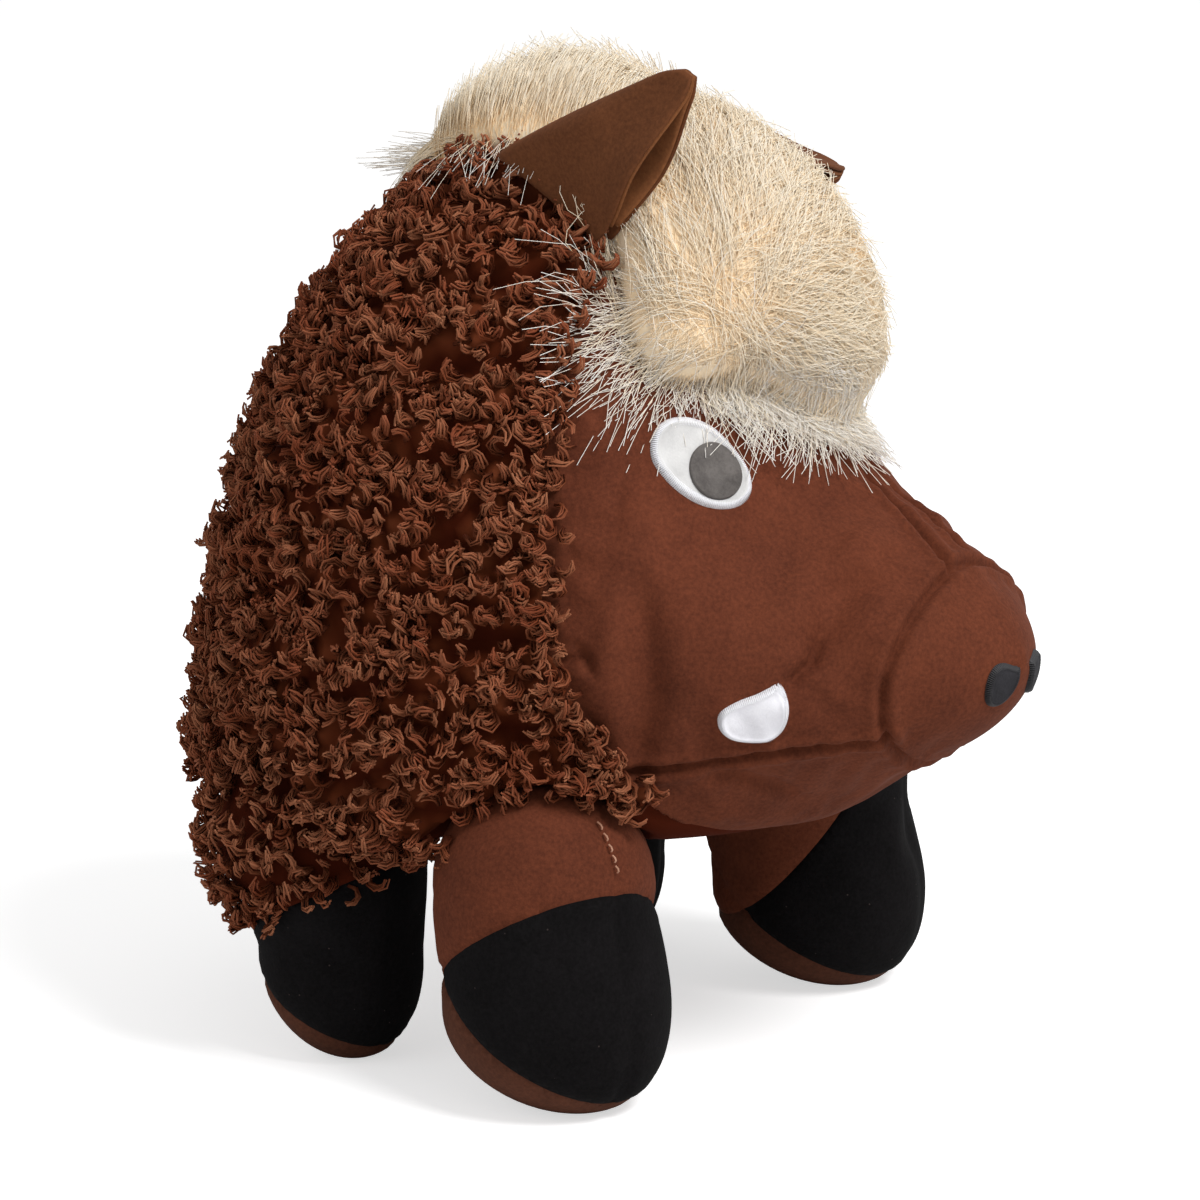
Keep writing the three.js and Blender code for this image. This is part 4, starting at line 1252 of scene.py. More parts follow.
@dataclass
class BodyCover:
    """The toy's skin: velour face, fleece backing and belly, over one stuffed form."""

    face_level: float = -4.0
    backing_level: float = -4.6
    socket_gap: float = 0.8
    mouth_z: float = 97.7
    mouth_slope: float = 0.16
    nose_seam_x: float = 107.5
    nose_seam_lean: float = 0.13
    seam_depth: float = 2.2
    seam_width: float = 1.1
    seam_ridge: float = 1.0
    pucker: float = 0.2
    pucker_pitch: float = 9.0
    bridge_near: tuple[Pair, ...] = ((62.0, 8.0), (78.0, 7.0), (92.0, 2.0), (112.0, -7.0))
    bridge_far: tuple[Pair, ...] = ((62.0, 22.0), (78.0, 16.0), (92.0, 11.0), (109.0, 7.0))
    creases: tuple[Crease, ...] = (
        Crease(
            ((86.3, -49.8, 113.6), (89.3, -47.5, 117.7), (91.9, -45.0, 121.2), (92.6, -40.7, 129.3)), 3.6, 1.8
        ),
        Crease(
            ((89.3, -47.5, 117.7), (92.7, -42.9, 125.3), (93.8, -31.2, 138.1), (94.8, -21.6, 143.8)), 5.0, 6.5
        ),
        Crease(
            ((52.1, -63.0, 138.2), (55.7, -66.3, 126.7), (56.9, -67.3, 113.9), (52.0, -64.6, 92.2)), 5.2, 5.0
        ),
        Crease(((44.3, -67.8, 136.0), (48.3, -69.8, 123.8), (50.4, -69.7, 111.0)), -1.8, 6.0),
        Crease(((32.1, -77.1, 119.1), (36.6, -75.1, 120.5), (41.2, -72.8, 122.5)), 2.0, 1.4),
        Crease(((39.4, -73.4, 124.5), (41.9, -72.6, 121.8), (43.7, -72.6, 117.5)), 2.6, 1.5),
        Crease(
            ((65.2, -55.6, 91.5), (72.7, -48.1, 89.5), (77.4, -38.2, 85.1), (79.4, -27.2, 80.0)), 2.4, 2.4
        ),
        Crease(((90.1, -39.8, 97.3), (98.5, -34.0, 98.7), (107.0, -28.2, 100.5)), -1.3, 2.6),
        Crease(((102.0, -30.0, 131.0), (106.0, -26.0, 119.0)), -2.6, 11.0),
        Crease(((88.0, -22.0, 150.0), (98.0, -20.0, 143.0)), -2.6, 11.0),
        Crease(((62.0, -56.0, 145.0), (70.0, -54.0, 130.0)), -2.0, 20.0),
    )
    stuffing: Stuffing = field(default_factory=Stuffing)

    def place(self, directions: Array, raised: float = 1.0) -> tuple[Array, Array]:
        """Put the skin where rays from the core leave the body, with sockets for the hips.

        Args:
            directions: Unit vectors from the core.
            raised: Share of the face's height over the backing, ahead of the seam.

        Returns:
            Points and outward normals.
        """
        outside = BODY.cast(BODY.core, directions)
        normals = BODY.normals(outside)
        share = raised * smooth_step(OUTLINE.ahead(outside), -6.0, -2.0)[:, None]
        points = outside + normals * (self.backing_level + share * (self.face_level - self.backing_level))
        reach = norm(points - BODY.core, axis=1)
        for hip, radius in HIPS:
            away = BODY.core - hip
            half = directions @ away
            rest = half**2 - (away @ away - (radius + self.socket_gap) ** 2)
            meet = -half - np.sqrt(np.maximum(rest, 0.0))
            hit = (rest > 0) & (meet > 0) & (meet < reach)
            points[hit] = BODY.core + directions[hit] * meet[hit, None]
        return points, normals

    def clear_of_hips(self, points: Array) -> Array:
        """How far points are from the nearest leg's hip."""
        return np.min([norm(points - hip, axis=1) - radius for hip, radius in HIPS], axis=0)

    def seams(self) -> list[Array]:
        """The face's sewn lines, as points on the skin.

        Returns:
            Mouth on both sides, nose ring and both sides of the bridge strip.
        """
        lines = []
        for side in Side:
            x = np.linspace(46.0, self.nose_seam_x, 30)
            z = self.mouth_z + self.mouth_slope * (x - self.nose_seam_x)
            inside = np.stack([x, 0 * x, z], axis=1)
            lines.append(BODY.cast(inside, np.tile([0.0, side.value, 0.0], (len(x), 1))))
        ring_x = self.nose_seam_x + self.nose_seam_lean * (BODY.snout_z - self.mouth_z)
        middle = np.array([ring_x, 0.0, BODY.snout_z])
        turn = np.linspace(0.0, 2 * pi, 61)
        up = unit(np.array([self.nose_seam_lean, 0.0, 1.0]))
        around = np.cos(turn)[:, None] * np.array([0.0, 1.0, 0.0]) + np.sin(turn)[:, None] * up
        lines.append(BODY.cast(middle, around))
        for strip in (self.bridge_near, self.bridge_far):
            corners = np.array(strip)
            x = np.linspace(corners[0, 0], corners[-1, 0], 24)
            inside = np.stack([x, np.interp(x, corners[:, 0], corners[:, 1]), 0 * x + BODY.snout_z], axis=1)
            lines.append(BODY.cast(inside, np.tile([0.0, 0.0, 1.0], (len(x), 1))))
        return [line + BODY.normals(line) * self.face_level for line in lines]

    def sink(self, points: Array) -> Array:
        """How far seams, darts and folds pull the face in.

        Args:
            points: Points on the face.

        Returns:
            Millimetres inwards.
        """
        total = np.zeros(len(points))
        for line in self.seams():
            far, along = distance_to_line(points, line)
            wave = np.sin(2 * pi * along / self.pucker_pitch + np.sin(along / 9.0))
            groove = self.seam_depth * np.exp(-((far / self.seam_width) ** 2))
            beside = np.exp(-(((far - 2.6) / 1.6) ** 2))
            total += groove * (1 + 0.15 * wave) + (self.pucker * wave - self.seam_ridge) * beside
        mirrored = points * np.array([1.0, -1.0, 1.0])
        for crease in self.creases:
            total += crease.sink(points) + crease.sink(mirrored)
        return total

    def build(self, finishes: Finishes, coat: CurlCoat) -> BVHTree:
        """Make the skin's pieces.

        Args:
            finishes: The toy's materials.
            coat: The fleece's tufts.

        Returns:
            The finished face, for patches to lie on.
        """
        directions, triangles = even_directions(6)
        points, normals = self.place(directions)
        held = OUTLINE.ahead(points) < 3.0
        for line in self.seams():
            held |= distance_to_line(points, line)[0] < 2.4
        moves = self.stuffing.swell(points, triangles, held)
        ahead = OUTLINE.ahead(points)[triangles].mean(axis=1)
        height = points[triangles][:, :, 2].mean(axis=1)
        below = height < OUTLINE.belly_z
        rise, share, tone = coat.lumps(points)
        rise = rise * smooth_step(-OUTLINE.ahead(points), -1.0, 3.0)
        rise = rise * smooth_step(self.clear_of_hips(points), 1.0, 5.0)
        low = self.place(directions, 0.0)[0]
        # The tufts' height shares also colour the backing: painted shade in the gaps, a painted highlight on
        # the tufts' tops
        fleece = np.column_stack([low + normals * rise[:, None], share, tone])
        upper, lower = triangles[(ahead < 1.0) & ~below], triangles[(ahead < 1.0) & below]
        self.panel(
            "fleece_backing", fleece, upper, finishes.backing, -30.0, Slot.FLEECE,
            "fleece_panel_right", "fleece_panel_left", "body_stuffing_right", "body_stuffing_left",
        )
        self.panel("belly_cover", low, lower, finishes.velour, -12.0, Slot.VELOUR, "belly_panel")
        return self.face(directions, triangles[ahead > -8.0], moves, finishes)

    def panel(
        self, name: str, points: Array, triangles: Array, finish: Finish, inside_x: float, slot: Slot,
        *nodes: str,
    ) -> None:
        """Make a stuffed piece from some of the skin.

        Args:
            name: The piece's name.
            points: The skin's points.
            triangles: The panel's triangles.
            finish: The panel's material.
            inside_x: Where its stuffing ends inside the toy.
            slot: The record's slot.
            nodes: The solids it replaces.
        """
        rows, triangles = used_only(points, triangles)
        apex = np.zeros(rows.shape[1])
        apex[:3] = inside_x, 0.0, BODY.snout_z
        piece = make_piece(name, *closed_to(rows, triangles, apex), finish)
        settle(piece, "torso", slot, *nodes)

    def face(self, directions: Array, triangles: Array, moves: Array, finishes: Finishes) -> BVHTree:
        """Make the face from its part of the skin, split finer.

        Args:
            directions: Directions from the core.
            triangles: The face's triangles.
            moves: How far the stuffing pushed each point.
            finishes: The toy's materials.

        Returns:
            The finished face, for patches to lie on.
        """
        rows, triangles = used_only(np.hstack([directions, moves]), triangles)
        for _ in range(2):
            rows, triangles = split_triangles(rows, triangles)
        pushed = smoothed(rows[:, 3:], triangles, 6)
        points, normals = self.place(unit(rows[:, :3]))
        points = points + pushed - normals * self.sink(points)[:, None]
        triangles = triangles[OUTLINE.ahead(points)[triangles].mean(axis=1) > -2.5]
        self.panel(
            "face_cover", points, triangles, finishes.velour, 20.0, Slot.VELOUR, "cheek_panel_right",
            "cheek_panel_left", "bridge_gusset", "chin_gusset", "nose_cap", "head_stuffing",
        )
        return BVHTree.FromPolygons(points.tolist(), triangles.tolist())


# Long-pile mane


@dataclass
class Mane:
    """Cream long pile: a forelock that parts at a whorl, and a crest combed up to the nape.

    Places are degrees aside and degrees above the snout's axis, seen from the body's core.
    """

    whorl: Pair = (-19.0, 66.0)
    middle: Pair = (0.0, 69.0)
    edge: tuple[Pair, ...] = (
        (-20.0, 80.0), (-24.5, 76.0), (-29.0, 70.0), (-29.5, 66.0), (-26.0, 61.5), (-18.0, 58.0),
        (-11.0, 53.5), (-4.0, 48.5), (3.0, 45.0), (11.0, 46.0), (19.0, 50.0), (26.0, 57.0), (30.0, 65.0),
        (29.0, 74.0), (24.0, 83.0), (13.0, 92.0), (0.0, 96.0), (-10.0, 92.0), (-15.5, 86.0),
    )
    puff: float = 17.5
    clumps: int = 560
    clump_strands: int = 19
    fringe_strands: int = 3000
    fringe_locks: int = 90
    eye: Pair = (30.0, 47.5)
    eye_room: float = 8.0
    ear: Pair = (-13.0, 79.0)
    crest_reach: Pair = (79.5, 114.0)
    crest_half: float = 12.0
    crest_height: float = 14.0
    crest_strands: int = 5000
    crest_locks: int = 160
    wisp_strands: int = 110
    thickness: float = 0.1
    points: int = 5
    seed: int = 23
    limit: int = 5600

    def __post_init__(self) -> None:
        """Start the mane's random numbers."""
        self.random = np.random.default_rng(self.seed)

    def reach(self, bearing: Array) -> Array:
        """How many degrees the dense pile's edge lies from its middle, by bearings in radians."""
        away = np.array(self.edge) - np.array(self.middle)
        return np.interp(bearing, np.arctan2(*away.T[::-1]), norm(away, axis=1), period=2 * pi)

    def around(self, bearing: Array, far: Array) -> Array:
        """Places about the dense pile's middle, by bearing and distance."""
        ways = np.stack([np.cos(bearing), np.sin(bearing)], axis=-1)
        return np.array(self.middle) + far[..., None] * ways

    def pile(self, places: Array) -> Array:
        """The dense pile's height.

        Args:
            places: Degrees aside and up.

        Returns:
            Millimetres above the body.
        """
        away = places - np.array(self.middle)
        share = norm(away, axis=-1) / self.reach(np.arctan2(away[..., 1], away[..., 0]))
        return self.puff * np.maximum(1 - share**2.6, 0.0) ** 0.6

    def past_eye(self, start: Array, way: Array, length: Array) -> Array:
        """Which fibres would end on an eye."""
        tips = (start + length[:, None] * way) * np.where(start[:, :1] < 0, [[-1.0, 1.0]], [[1.0, 1.0]])
        return norm(tips - np.array(self.eye), axis=1) < self.eye_room

    def comb(self, root: Array, tip: Array, bow: Array, lift: Array, sunk: float) -> Array:
        """Lay fibres on the pile and past its edge.

        Args:
            root: Degrees aside and up of the roots.
            tip: The same for the tips.
            bow: How far each fibre bows aside, in degrees.
            lift: Height of the free ends above the pile.
            sunk: How deep the roots sit in the pile.

        Returns:
            Lines of points.
        """
        paths = []
        for t in np.linspace(0.0, 1.0, self.points):
            places = root + (tip - root) * t + bow * sin(pi * t)
            base = BODY.toward(places[:, 1], places[:, 0])
            height = self.pile(places)
            cloth = 5.4 - 8.6 * smooth_step(OUTLINE.ahead(base), -3.0, 6.0)
            level = height + cloth * (1 - np.minimum(height / 5, 1.0))
            level = level + lift * (0.4 + 2.2 * t**2) - sunk * (1 - t) ** 3
            paths.append(base + BODY.normals(base) * level[:, None])
        return np.stack(paths, axis=1)

    def forelock(self) -> Strands:
        """Soft clumps of fibres combed away from the whorl.

        Returns:
            The fibres.
        """
        random = self.random
        bearing = random.uniform(-pi, pi, self.clumps)
        far = self.reach(bearing) * np.sqrt(random.uniform(0.0, 1.0, self.clumps))
        place = self.around(bearing, far)
        way = unit(place - np.array(self.whorl) + random.normal(0.0, 2.0, place.shape))
        over_ear = ((place + 9 * way) * [1, -1] < np.array(self.ear) * [1, -1]).all(axis=1)
        way[over_ear] = unit(np.array([0.5, 1.0]))
        length = random.uniform(9.0, 15.0, self.clumps)
        start = place - 0.42 * length[:, None] * way
        length = np.where(self.past_eye(start, way, length), 0.6 * length, length)
        pick = np.repeat(np.arange(self.clumps), self.clump_strands)
        count = len(pick)
        root = start[pick] + random.normal(0.0, 2.4, (count, 2))
        tip = start[pick] + way[pick] * (length[pick] * random.uniform(0.7, 1.12, count))[:, None]
        tip = tip + random.normal(0.0, 1.3, (count, 2))
        bow = random.normal(0.0, 0.9, self.clumps)[pick, None] * way[pick][:, ::-1] * [1, -1]
        bow = bow + random.normal(0.0, 0.5, (count, 2))
        paths = self.comb(root, tip, bow, 0.05 + 2.6 * random.beta(0.8, 3.2, count), 1.0)
        return Strands(paths, self.girth(count), random.beta(1.5, 1.5, count))

    def fringe(self) -> Strands:
        """Fine single fibres that stream past the forelock's edge, down over fleece and face.

        Returns:
            The fibres.
        """
        random = self.random
        count = self.fringe_strands
        bearing = np.radians(random.uniform(170.0, 320.0, count))
        mirrored = random.uniform(0.0, 1.0, count) < 0.3
        bearing = np.where(mirrored, pi - bearing, bearing)
        root = self.around(bearing, self.reach(bearing) * random.uniform(0.78, 1.0, count))
        whorl = np.where(mirrored[:, None], [[-1.0, 1.0]], [[1.0, 1.0]]) * np.array(self.whorl)
        lock = random.integers(0, self.fringe_locks, count)
        way = root - whorl + 2.5 * random.normal(0.0, 1.0, (self.fringe_locks, 2))[lock]
        way = unit(way + random.normal(0.0, 1.4, root.shape))
        length = random.uniform(7.0, 16.0, self.fringe_locks)[lock] * random.uniform(0.5, 1.4, count)
        over = self.past_eye(root, way, length) & (random.uniform(0.0, 1.0, count) < 0.85)
        length = np.where(over, 0.45 * length, length)
        bow = random.normal(0.0, 1.2, (count, 2))
        paths = self.comb(root, root + way * length[:, None], bow, random.uniform(0.2, 1.3, count), 2.0)
        return Strands(paths, 0.55 * self.girth(count), random.beta(3.0, 1.2, count))

    def girth(self, count: int) -> Array:
        """Girths that taper to a fine tip."""
        t = np.linspace(0.0, 1.0, self.points)
        return self.random.uniform(0.75, 1.25, count)[:, None] * (1.0 - 0.8 * t**2.2)

    def arch(self, theta: Array, place: Array) -> tuple[Array, Array]:
        """Places on the crest's arch, low in front under the forelock and slimmer to the nape.

        Args:
            theta: Degrees above the snout's axis.
            place: From -1 at its right foot to 1 at its left foot.

        Returns:
            Points on the body, and the crest's height above them.
        """
        nape = smooth_step(theta, 100.0, 118.0)
        full = (0.5 + 0.5 * smooth_step(theta, 82.0, 99.0)) * (1 - 0.4 * nape)
        half = self.crest_half * (1 - 0.45 * nape)
        return BODY.toward(theta, half * place), self.crest_height * full * np.sqrt(1 - place**2)

    def crest(self) -> Strands:
        """Fibres combed up the crest's sides, with free ends above it.

        Returns:
            The fibres.
        """
        random = self.random
        count = self.crest_strands
        low, high = self.crest_reach
        theta = low - 0.5 + (high + 0.5 - low) * random.uniform(0.0, 1.0, count) ** 0.85
        last = random.uniform(0.0, 1.0, count) < 0.2
        theta = np.where(last, high - random.uniform(0.0, 9.0, count), theta)
        swept = last * random.uniform(4.0, 9.0, count)
        sides = random.choice([-1.0, 1.0], count)
        foot = sides * np.where(last, random.uniform(0.0, 0.95, count), random.beta(4.0, 1.0, count))
        rise = np.where(last, 0.9, 1 - 1.25 * random.uniform(0.2, 1.0, count))
        lock = random.integers(0, self.crest_locks, count)
        stray = random.normal(0.0, 0.16, (self.crest_locks, 3))[lock] + random.normal(0.0, 0.10, (count, 3))
        free = unit(np.array([0.04, 0.0, 1.0]) + stray) * (0.5 + 10.0 * random.beta(1.2, 2.6, count))[:, None]
        free = free * (1 - 0.6 * last)[:, None]
        paths = []
        for t in np.linspace(0.0, 1.0, self.points):
            place = np.clip(foot * (1 - (1 - rise) * t), -0.999, 0.999)
            base, height = self.arch(theta + (stray[:, 0] * 6 + swept) * t, place)
            level = height * (1 - 0.45 * last * t**2) + 0.6 - 0.9 * (1 - t) ** 3
            paths.append(base + BODY.normals(base) * level[:, None] + free * max(t - 0.35, 0.0) / 0.65)
        return Strands(np.stack(paths, axis=1), self.girth(count), random.beta(1.5, 1.5, count))

    def wisps(self) -> Strands:
        """Loose fibres: a lock that trails off the nape and a few behind each ear.

        Returns:
            The fibres.
        """
        random = self.random
        count = self.wisp_strands
        nape = BODY.toward(random.uniform(112.0, 118.0, count), random.uniform(-4.0, 4.0, count))
        back = unit(np.array([-1.0, 0.05, 0.06]) + random.normal(0.0, 0.10, (count, 3)))
        sides = random.choice([-1.0, 1.0], count)
        behind = BODY.toward(random.uniform(94.0, 108.0, count), sides * random.uniform(9.0, 12.0, count))
        down = np.stack([random.normal(0.1, 0.35, count), sides, random.normal(-0.38, 0.16, count)], axis=1)
        roots, ways = np.vstack([nape, behind]), np.vstack([back, unit(down)])
        length = np.concatenate([random.uniform(16.0, 30.0, count), random.uniform(8.0, 22.0, count)])
        t = np.linspace(0.0, 1.0, self.points)
        paths = roots[:, None] + ways[:, None] * (length[:, None] * t)[..., None]
        paths[..., 2] -= 0.10 * length[:, None] * t**2
        lift = BODY.normals(paths.reshape(-1, 3)).reshape(paths.shape)
        inside = np.minimum(BODY.field(paths.reshape(-1, 3)).reshape(paths.shape[:2]), 4.0) - 4.0
        paths = paths - lift * inside[..., None]
        return Strands(paths, 0.7 * self.girth(2 * count), random.beta(3.0, 1.2, 2 * count))

    def under(self, name: str, base: Array, rise: Array, closed: bool, finish: Finish) -> Piece:
        """The dense pile below the fibres' ends: a low swelling on the cloth."""
        normals = BODY.normals(base.reshape(-1, 3)).reshape(base.shape)
        return cushion(name, base + normals * (rise - 0.25)[..., None], base - normals * 5.0, closed, finish)

    def build(self, finishes: Finishes, maker: StrandMaker) -> None:
        """Make the mane's pieces.

        Args:
            finishes: The toy's materials.
            maker: Turns lines into fibres.
        """
        shares = np.sin(np.linspace(0.02, pi / 2, 26))
        share, bearing = np.meshgrid(shares, np.linspace(-pi, pi, 80, False), indexing="ij")
        places = self.around(bearing, share * self.reach(bearing))
        base = BODY.toward(places[..., 1].ravel(), places[..., 0].ravel()).reshape(*share.shape, 3)
        forelock = self.under("forelock_under", base, self.pile(places), True, finishes.mane_under)
        settle(forelock, "torso", Slot.FUR, "mane_forelock")
        runs = 0.5 - 0.5 * np.cos(np.linspace(0.0, pi, 34))
        run, place = np.meshgrid(runs, np.sin(np.linspace(-1.57, 1.57, 31)), indexing="ij")
        theta = self.crest_reach[0] + run * (self.crest_reach[1] - self.crest_reach[0])
        base, rise = self.arch(theta.ravel(), place.ravel())
        ends = np.sqrt(np.maximum(1 - np.abs(2 * run - 1) ** 10, 0.0))
        base, rise = base.reshape(*run.shape, 3), rise.reshape(run.shape) * ends
        crest = self.under("crest_under", base, rise, False, finishes.mane_under)
        settle(crest, "torso", Slot.FUR, "mane_crest")
        for name, strands, finish in (
            ("forelock", self.forelock(), finishes.mane), ("fringe", self.fringe(), finishes.wisps),
            ("crest", self.crest(), finishes.mane), ("wisps", self.wisps(), finishes.wisps),
        ):
            count = len(strands.paths)
            groups = np.array_split(np.arange(count), ceil(count / self.limit))
            for number, chosen in enumerate(groups, 1):
                piece = maker.make(f"{name}_pile_{number}", strands.part(chosen), self.thickness, finish)
                settle(piece, "torso", Slot.FUR)


# Legs


@dataclass
class Leg:
    """One stuffed leg: sleeve, hoof and sole, with sunk seams and a seam down its front."""

    name: str
    form: LegForm
    side: Side
    sides: int = 72
    seam_depth: float = 1.1
    seam_width: float = 1.5
    toe_depth: float = 1.2
    toe_width: float = 1.8
    front_turn: float = 17.0
    stitch_run: Pair = (66.5, 77.0)
    stitch_pitch: float = 2.6
    stitch_radius: float = 0.28
    core_z: float = 36.0
    fleece_inset: float = 3.5
    stuffing: Stuffing = field(default_factory=lambda: Stuffing(cap=2.0, slack=0.01))

    @property
    def body(self) -> str:
        """The body that the leg moves with."""
        return f"{self.name}_leg_{self.side.word}"

    def skin(self) -> tuple[Array, list[tuple[int, ...]]]:
        """The leg's stuffed outside, as on the right side.

        Returns:
            Points, and faces that point outwards.
        """
        form = self.form
        rings = form.rings(self.sides)
        points = rings.reshape(-1, 3)
        faces = grid_faces(len(rings), self.sides, True)
        quads = np.array(faces)
        faces.append(tuple(range(self.sides - 1, -1, -1)))
        faces.append(tuple(range(len(points) - self.sides, len(points))))
        triangles = np.vstack([quads[:, [0, 1, 2]], quads[:, [0, 2, 3]]])
        seam, sole = form.above_seam(points), form.above_sole(points)
        held = (np.abs(seam) < 1.6) | (sole < 1.2) | (points[:, 2] > form.hip[2])
        points = points + smoothed(self.stuffing.swell(points, triangles, held), triangles, 2)
        points[:, 2] = np.maximum(points[:, 2], 0.0)
        return self.sewn(points), faces

    def sewn(self, points: Array) -> Array:
        """Pull the cloth in along its seams.

        Args:
            points: The swollen skin.

        Returns:
            The skin with sunk seams.
        """
        form = self.form
        seam, sole = form.above_seam(points), form.above_sole(points)
        away = points[:, :2] - np.array([form.hoof[0], -form.hoof[1]])
        out = np.zeros_like(points)
        out[:, :2] = unit(away)
        sunk = self.seam_depth * np.exp(-((seam / self.seam_width) ** 2))
        sunk += 0.8 * self.seam_depth * np.exp(-((sole / self.seam_width) ** 2)) * (points[:, 2] > 0.3)
        turn = radians(self.front_turn)
        ahead = cos(turn) * away[:, 0] - sin(turn) * away[:, 1]
        aside = sin(turn) * away[:, 0] + cos(turn) * away[:, 1]
        sunk += ((ahead > 0) & (sole > 0)) * self.toe_depth * np.exp(-((aside / self.toe_width) ** 2))
        if self.name == "rear":
            sunk += self.fleece_inset * smooth_step(seam, 0.5, 4.0)
        return points - out * sunk[:, None]

    def stitches(self) -> Strands:
        """Running stitches beside the front seam, over the hip.

        Returns:
            One short fibre per stitch.
        """
        form = self.form
        low = np.arange(*self.stitch_run, self.stitch_pitch)
        z = low[:, None] + 0.65 * self.stitch_pitch * np.linspace(0.0, 1.0, 4)
        rise = np.radians(self.front_turn - 3.0)
        reach = np.sqrt(form.hip_radius**2 - (z - form.hip[2]) ** 2) + [-0.2, 0.5, 0.5, -0.2]
        out = self.side.value * (form.hip[1] + reach * sin(rise))
        paths = np.stack([form.hip[0] + reach * cos(rise), out, z], axis=-1)
        return Strands(paths, np.ones(z.shape), np.full(len(z), 0.5))

    def build(self, finishes: Finishes, maker: StrandMaker) -> None:
        """Make the leg's pieces.

        Args:
            finishes: The toy's materials.
            maker: Turns lines into fibres.
        """
        form = self.form
        if form is FRONT_LEG and self.side is Side.RIGHT:
            lines = self.stitches()
            thread = maker.make(f"{self.body}_stitches", lines, self.stitch_radius, finishes.tan_thread)
            settle(thread, self.body, Slot.VELOUR)
        points, faces = self.skin()
        work = bmesh.new()
        corners = [work.verts.new(point) for point in points]
        for face in faces:
            work.faces.new([corners[index] for index in face])
        seam = (form.seam_z, form.seam_slope, form.seam_roll)
        for height, slope, roll in (seam, (form.sole_z, form.sole_slope, 0.0)):
            place = (form.hoof[0], -form.hoof[1], height)
            whole = work.verts[:] + work.edges[:] + work.faces[:]
            bmesh.ops.bisect_plane(work, geom=whole, plane_co=place, plane_no=(-slope, roll, 1.0))
        bmesh.ops.triangulate(work, faces=work.faces[:])
        work.verts.index_update()
        points = np.array([vertex.co for vertex in work.verts])
        triangles = np.array([[vertex.index for vertex in face.verts] for face in work.faces])
        work.free()
        if self.side is Side.LEFT:
            points, triangles = points * np.array([1.0, -1.0, 1.0]), triangles[:, ::-1]
        middle = points[triangles].mean(axis=1)
        sleeve = form.above_seam(middle) > 0
        sole = (form.above_sole(middle) < 0) & ~sleeve
        fleece = self.name == "rear"
        core = (form.hoof[0], self.side.value * form.hoof[1], self.core_z)
        for part, chosen, finish, slot in (
            ("sleeve", sleeve, finishes.backing if fleece else finishes.velour,
             Slot.FLEECE if fleece else Slot.VELOUR),
            ("hoof", ~sleeve & ~sole, finishes.hoof, Slot.HOOF),
            ("sole", sole, finishes.sole, Slot.SOLE),
        ):
            closed = closed_to(*used_only(points, triangles[chosen]), core)
            piece = make_piece(f"{self.body}_{part}_cover", *closed, finish)
            nodes = [f"{self.body}_{part}"] + ([f"{self.body}_stuffing"] if part == "sleeve" else [])
            settle(piece, self.body, slot, *nodes)


# Ears


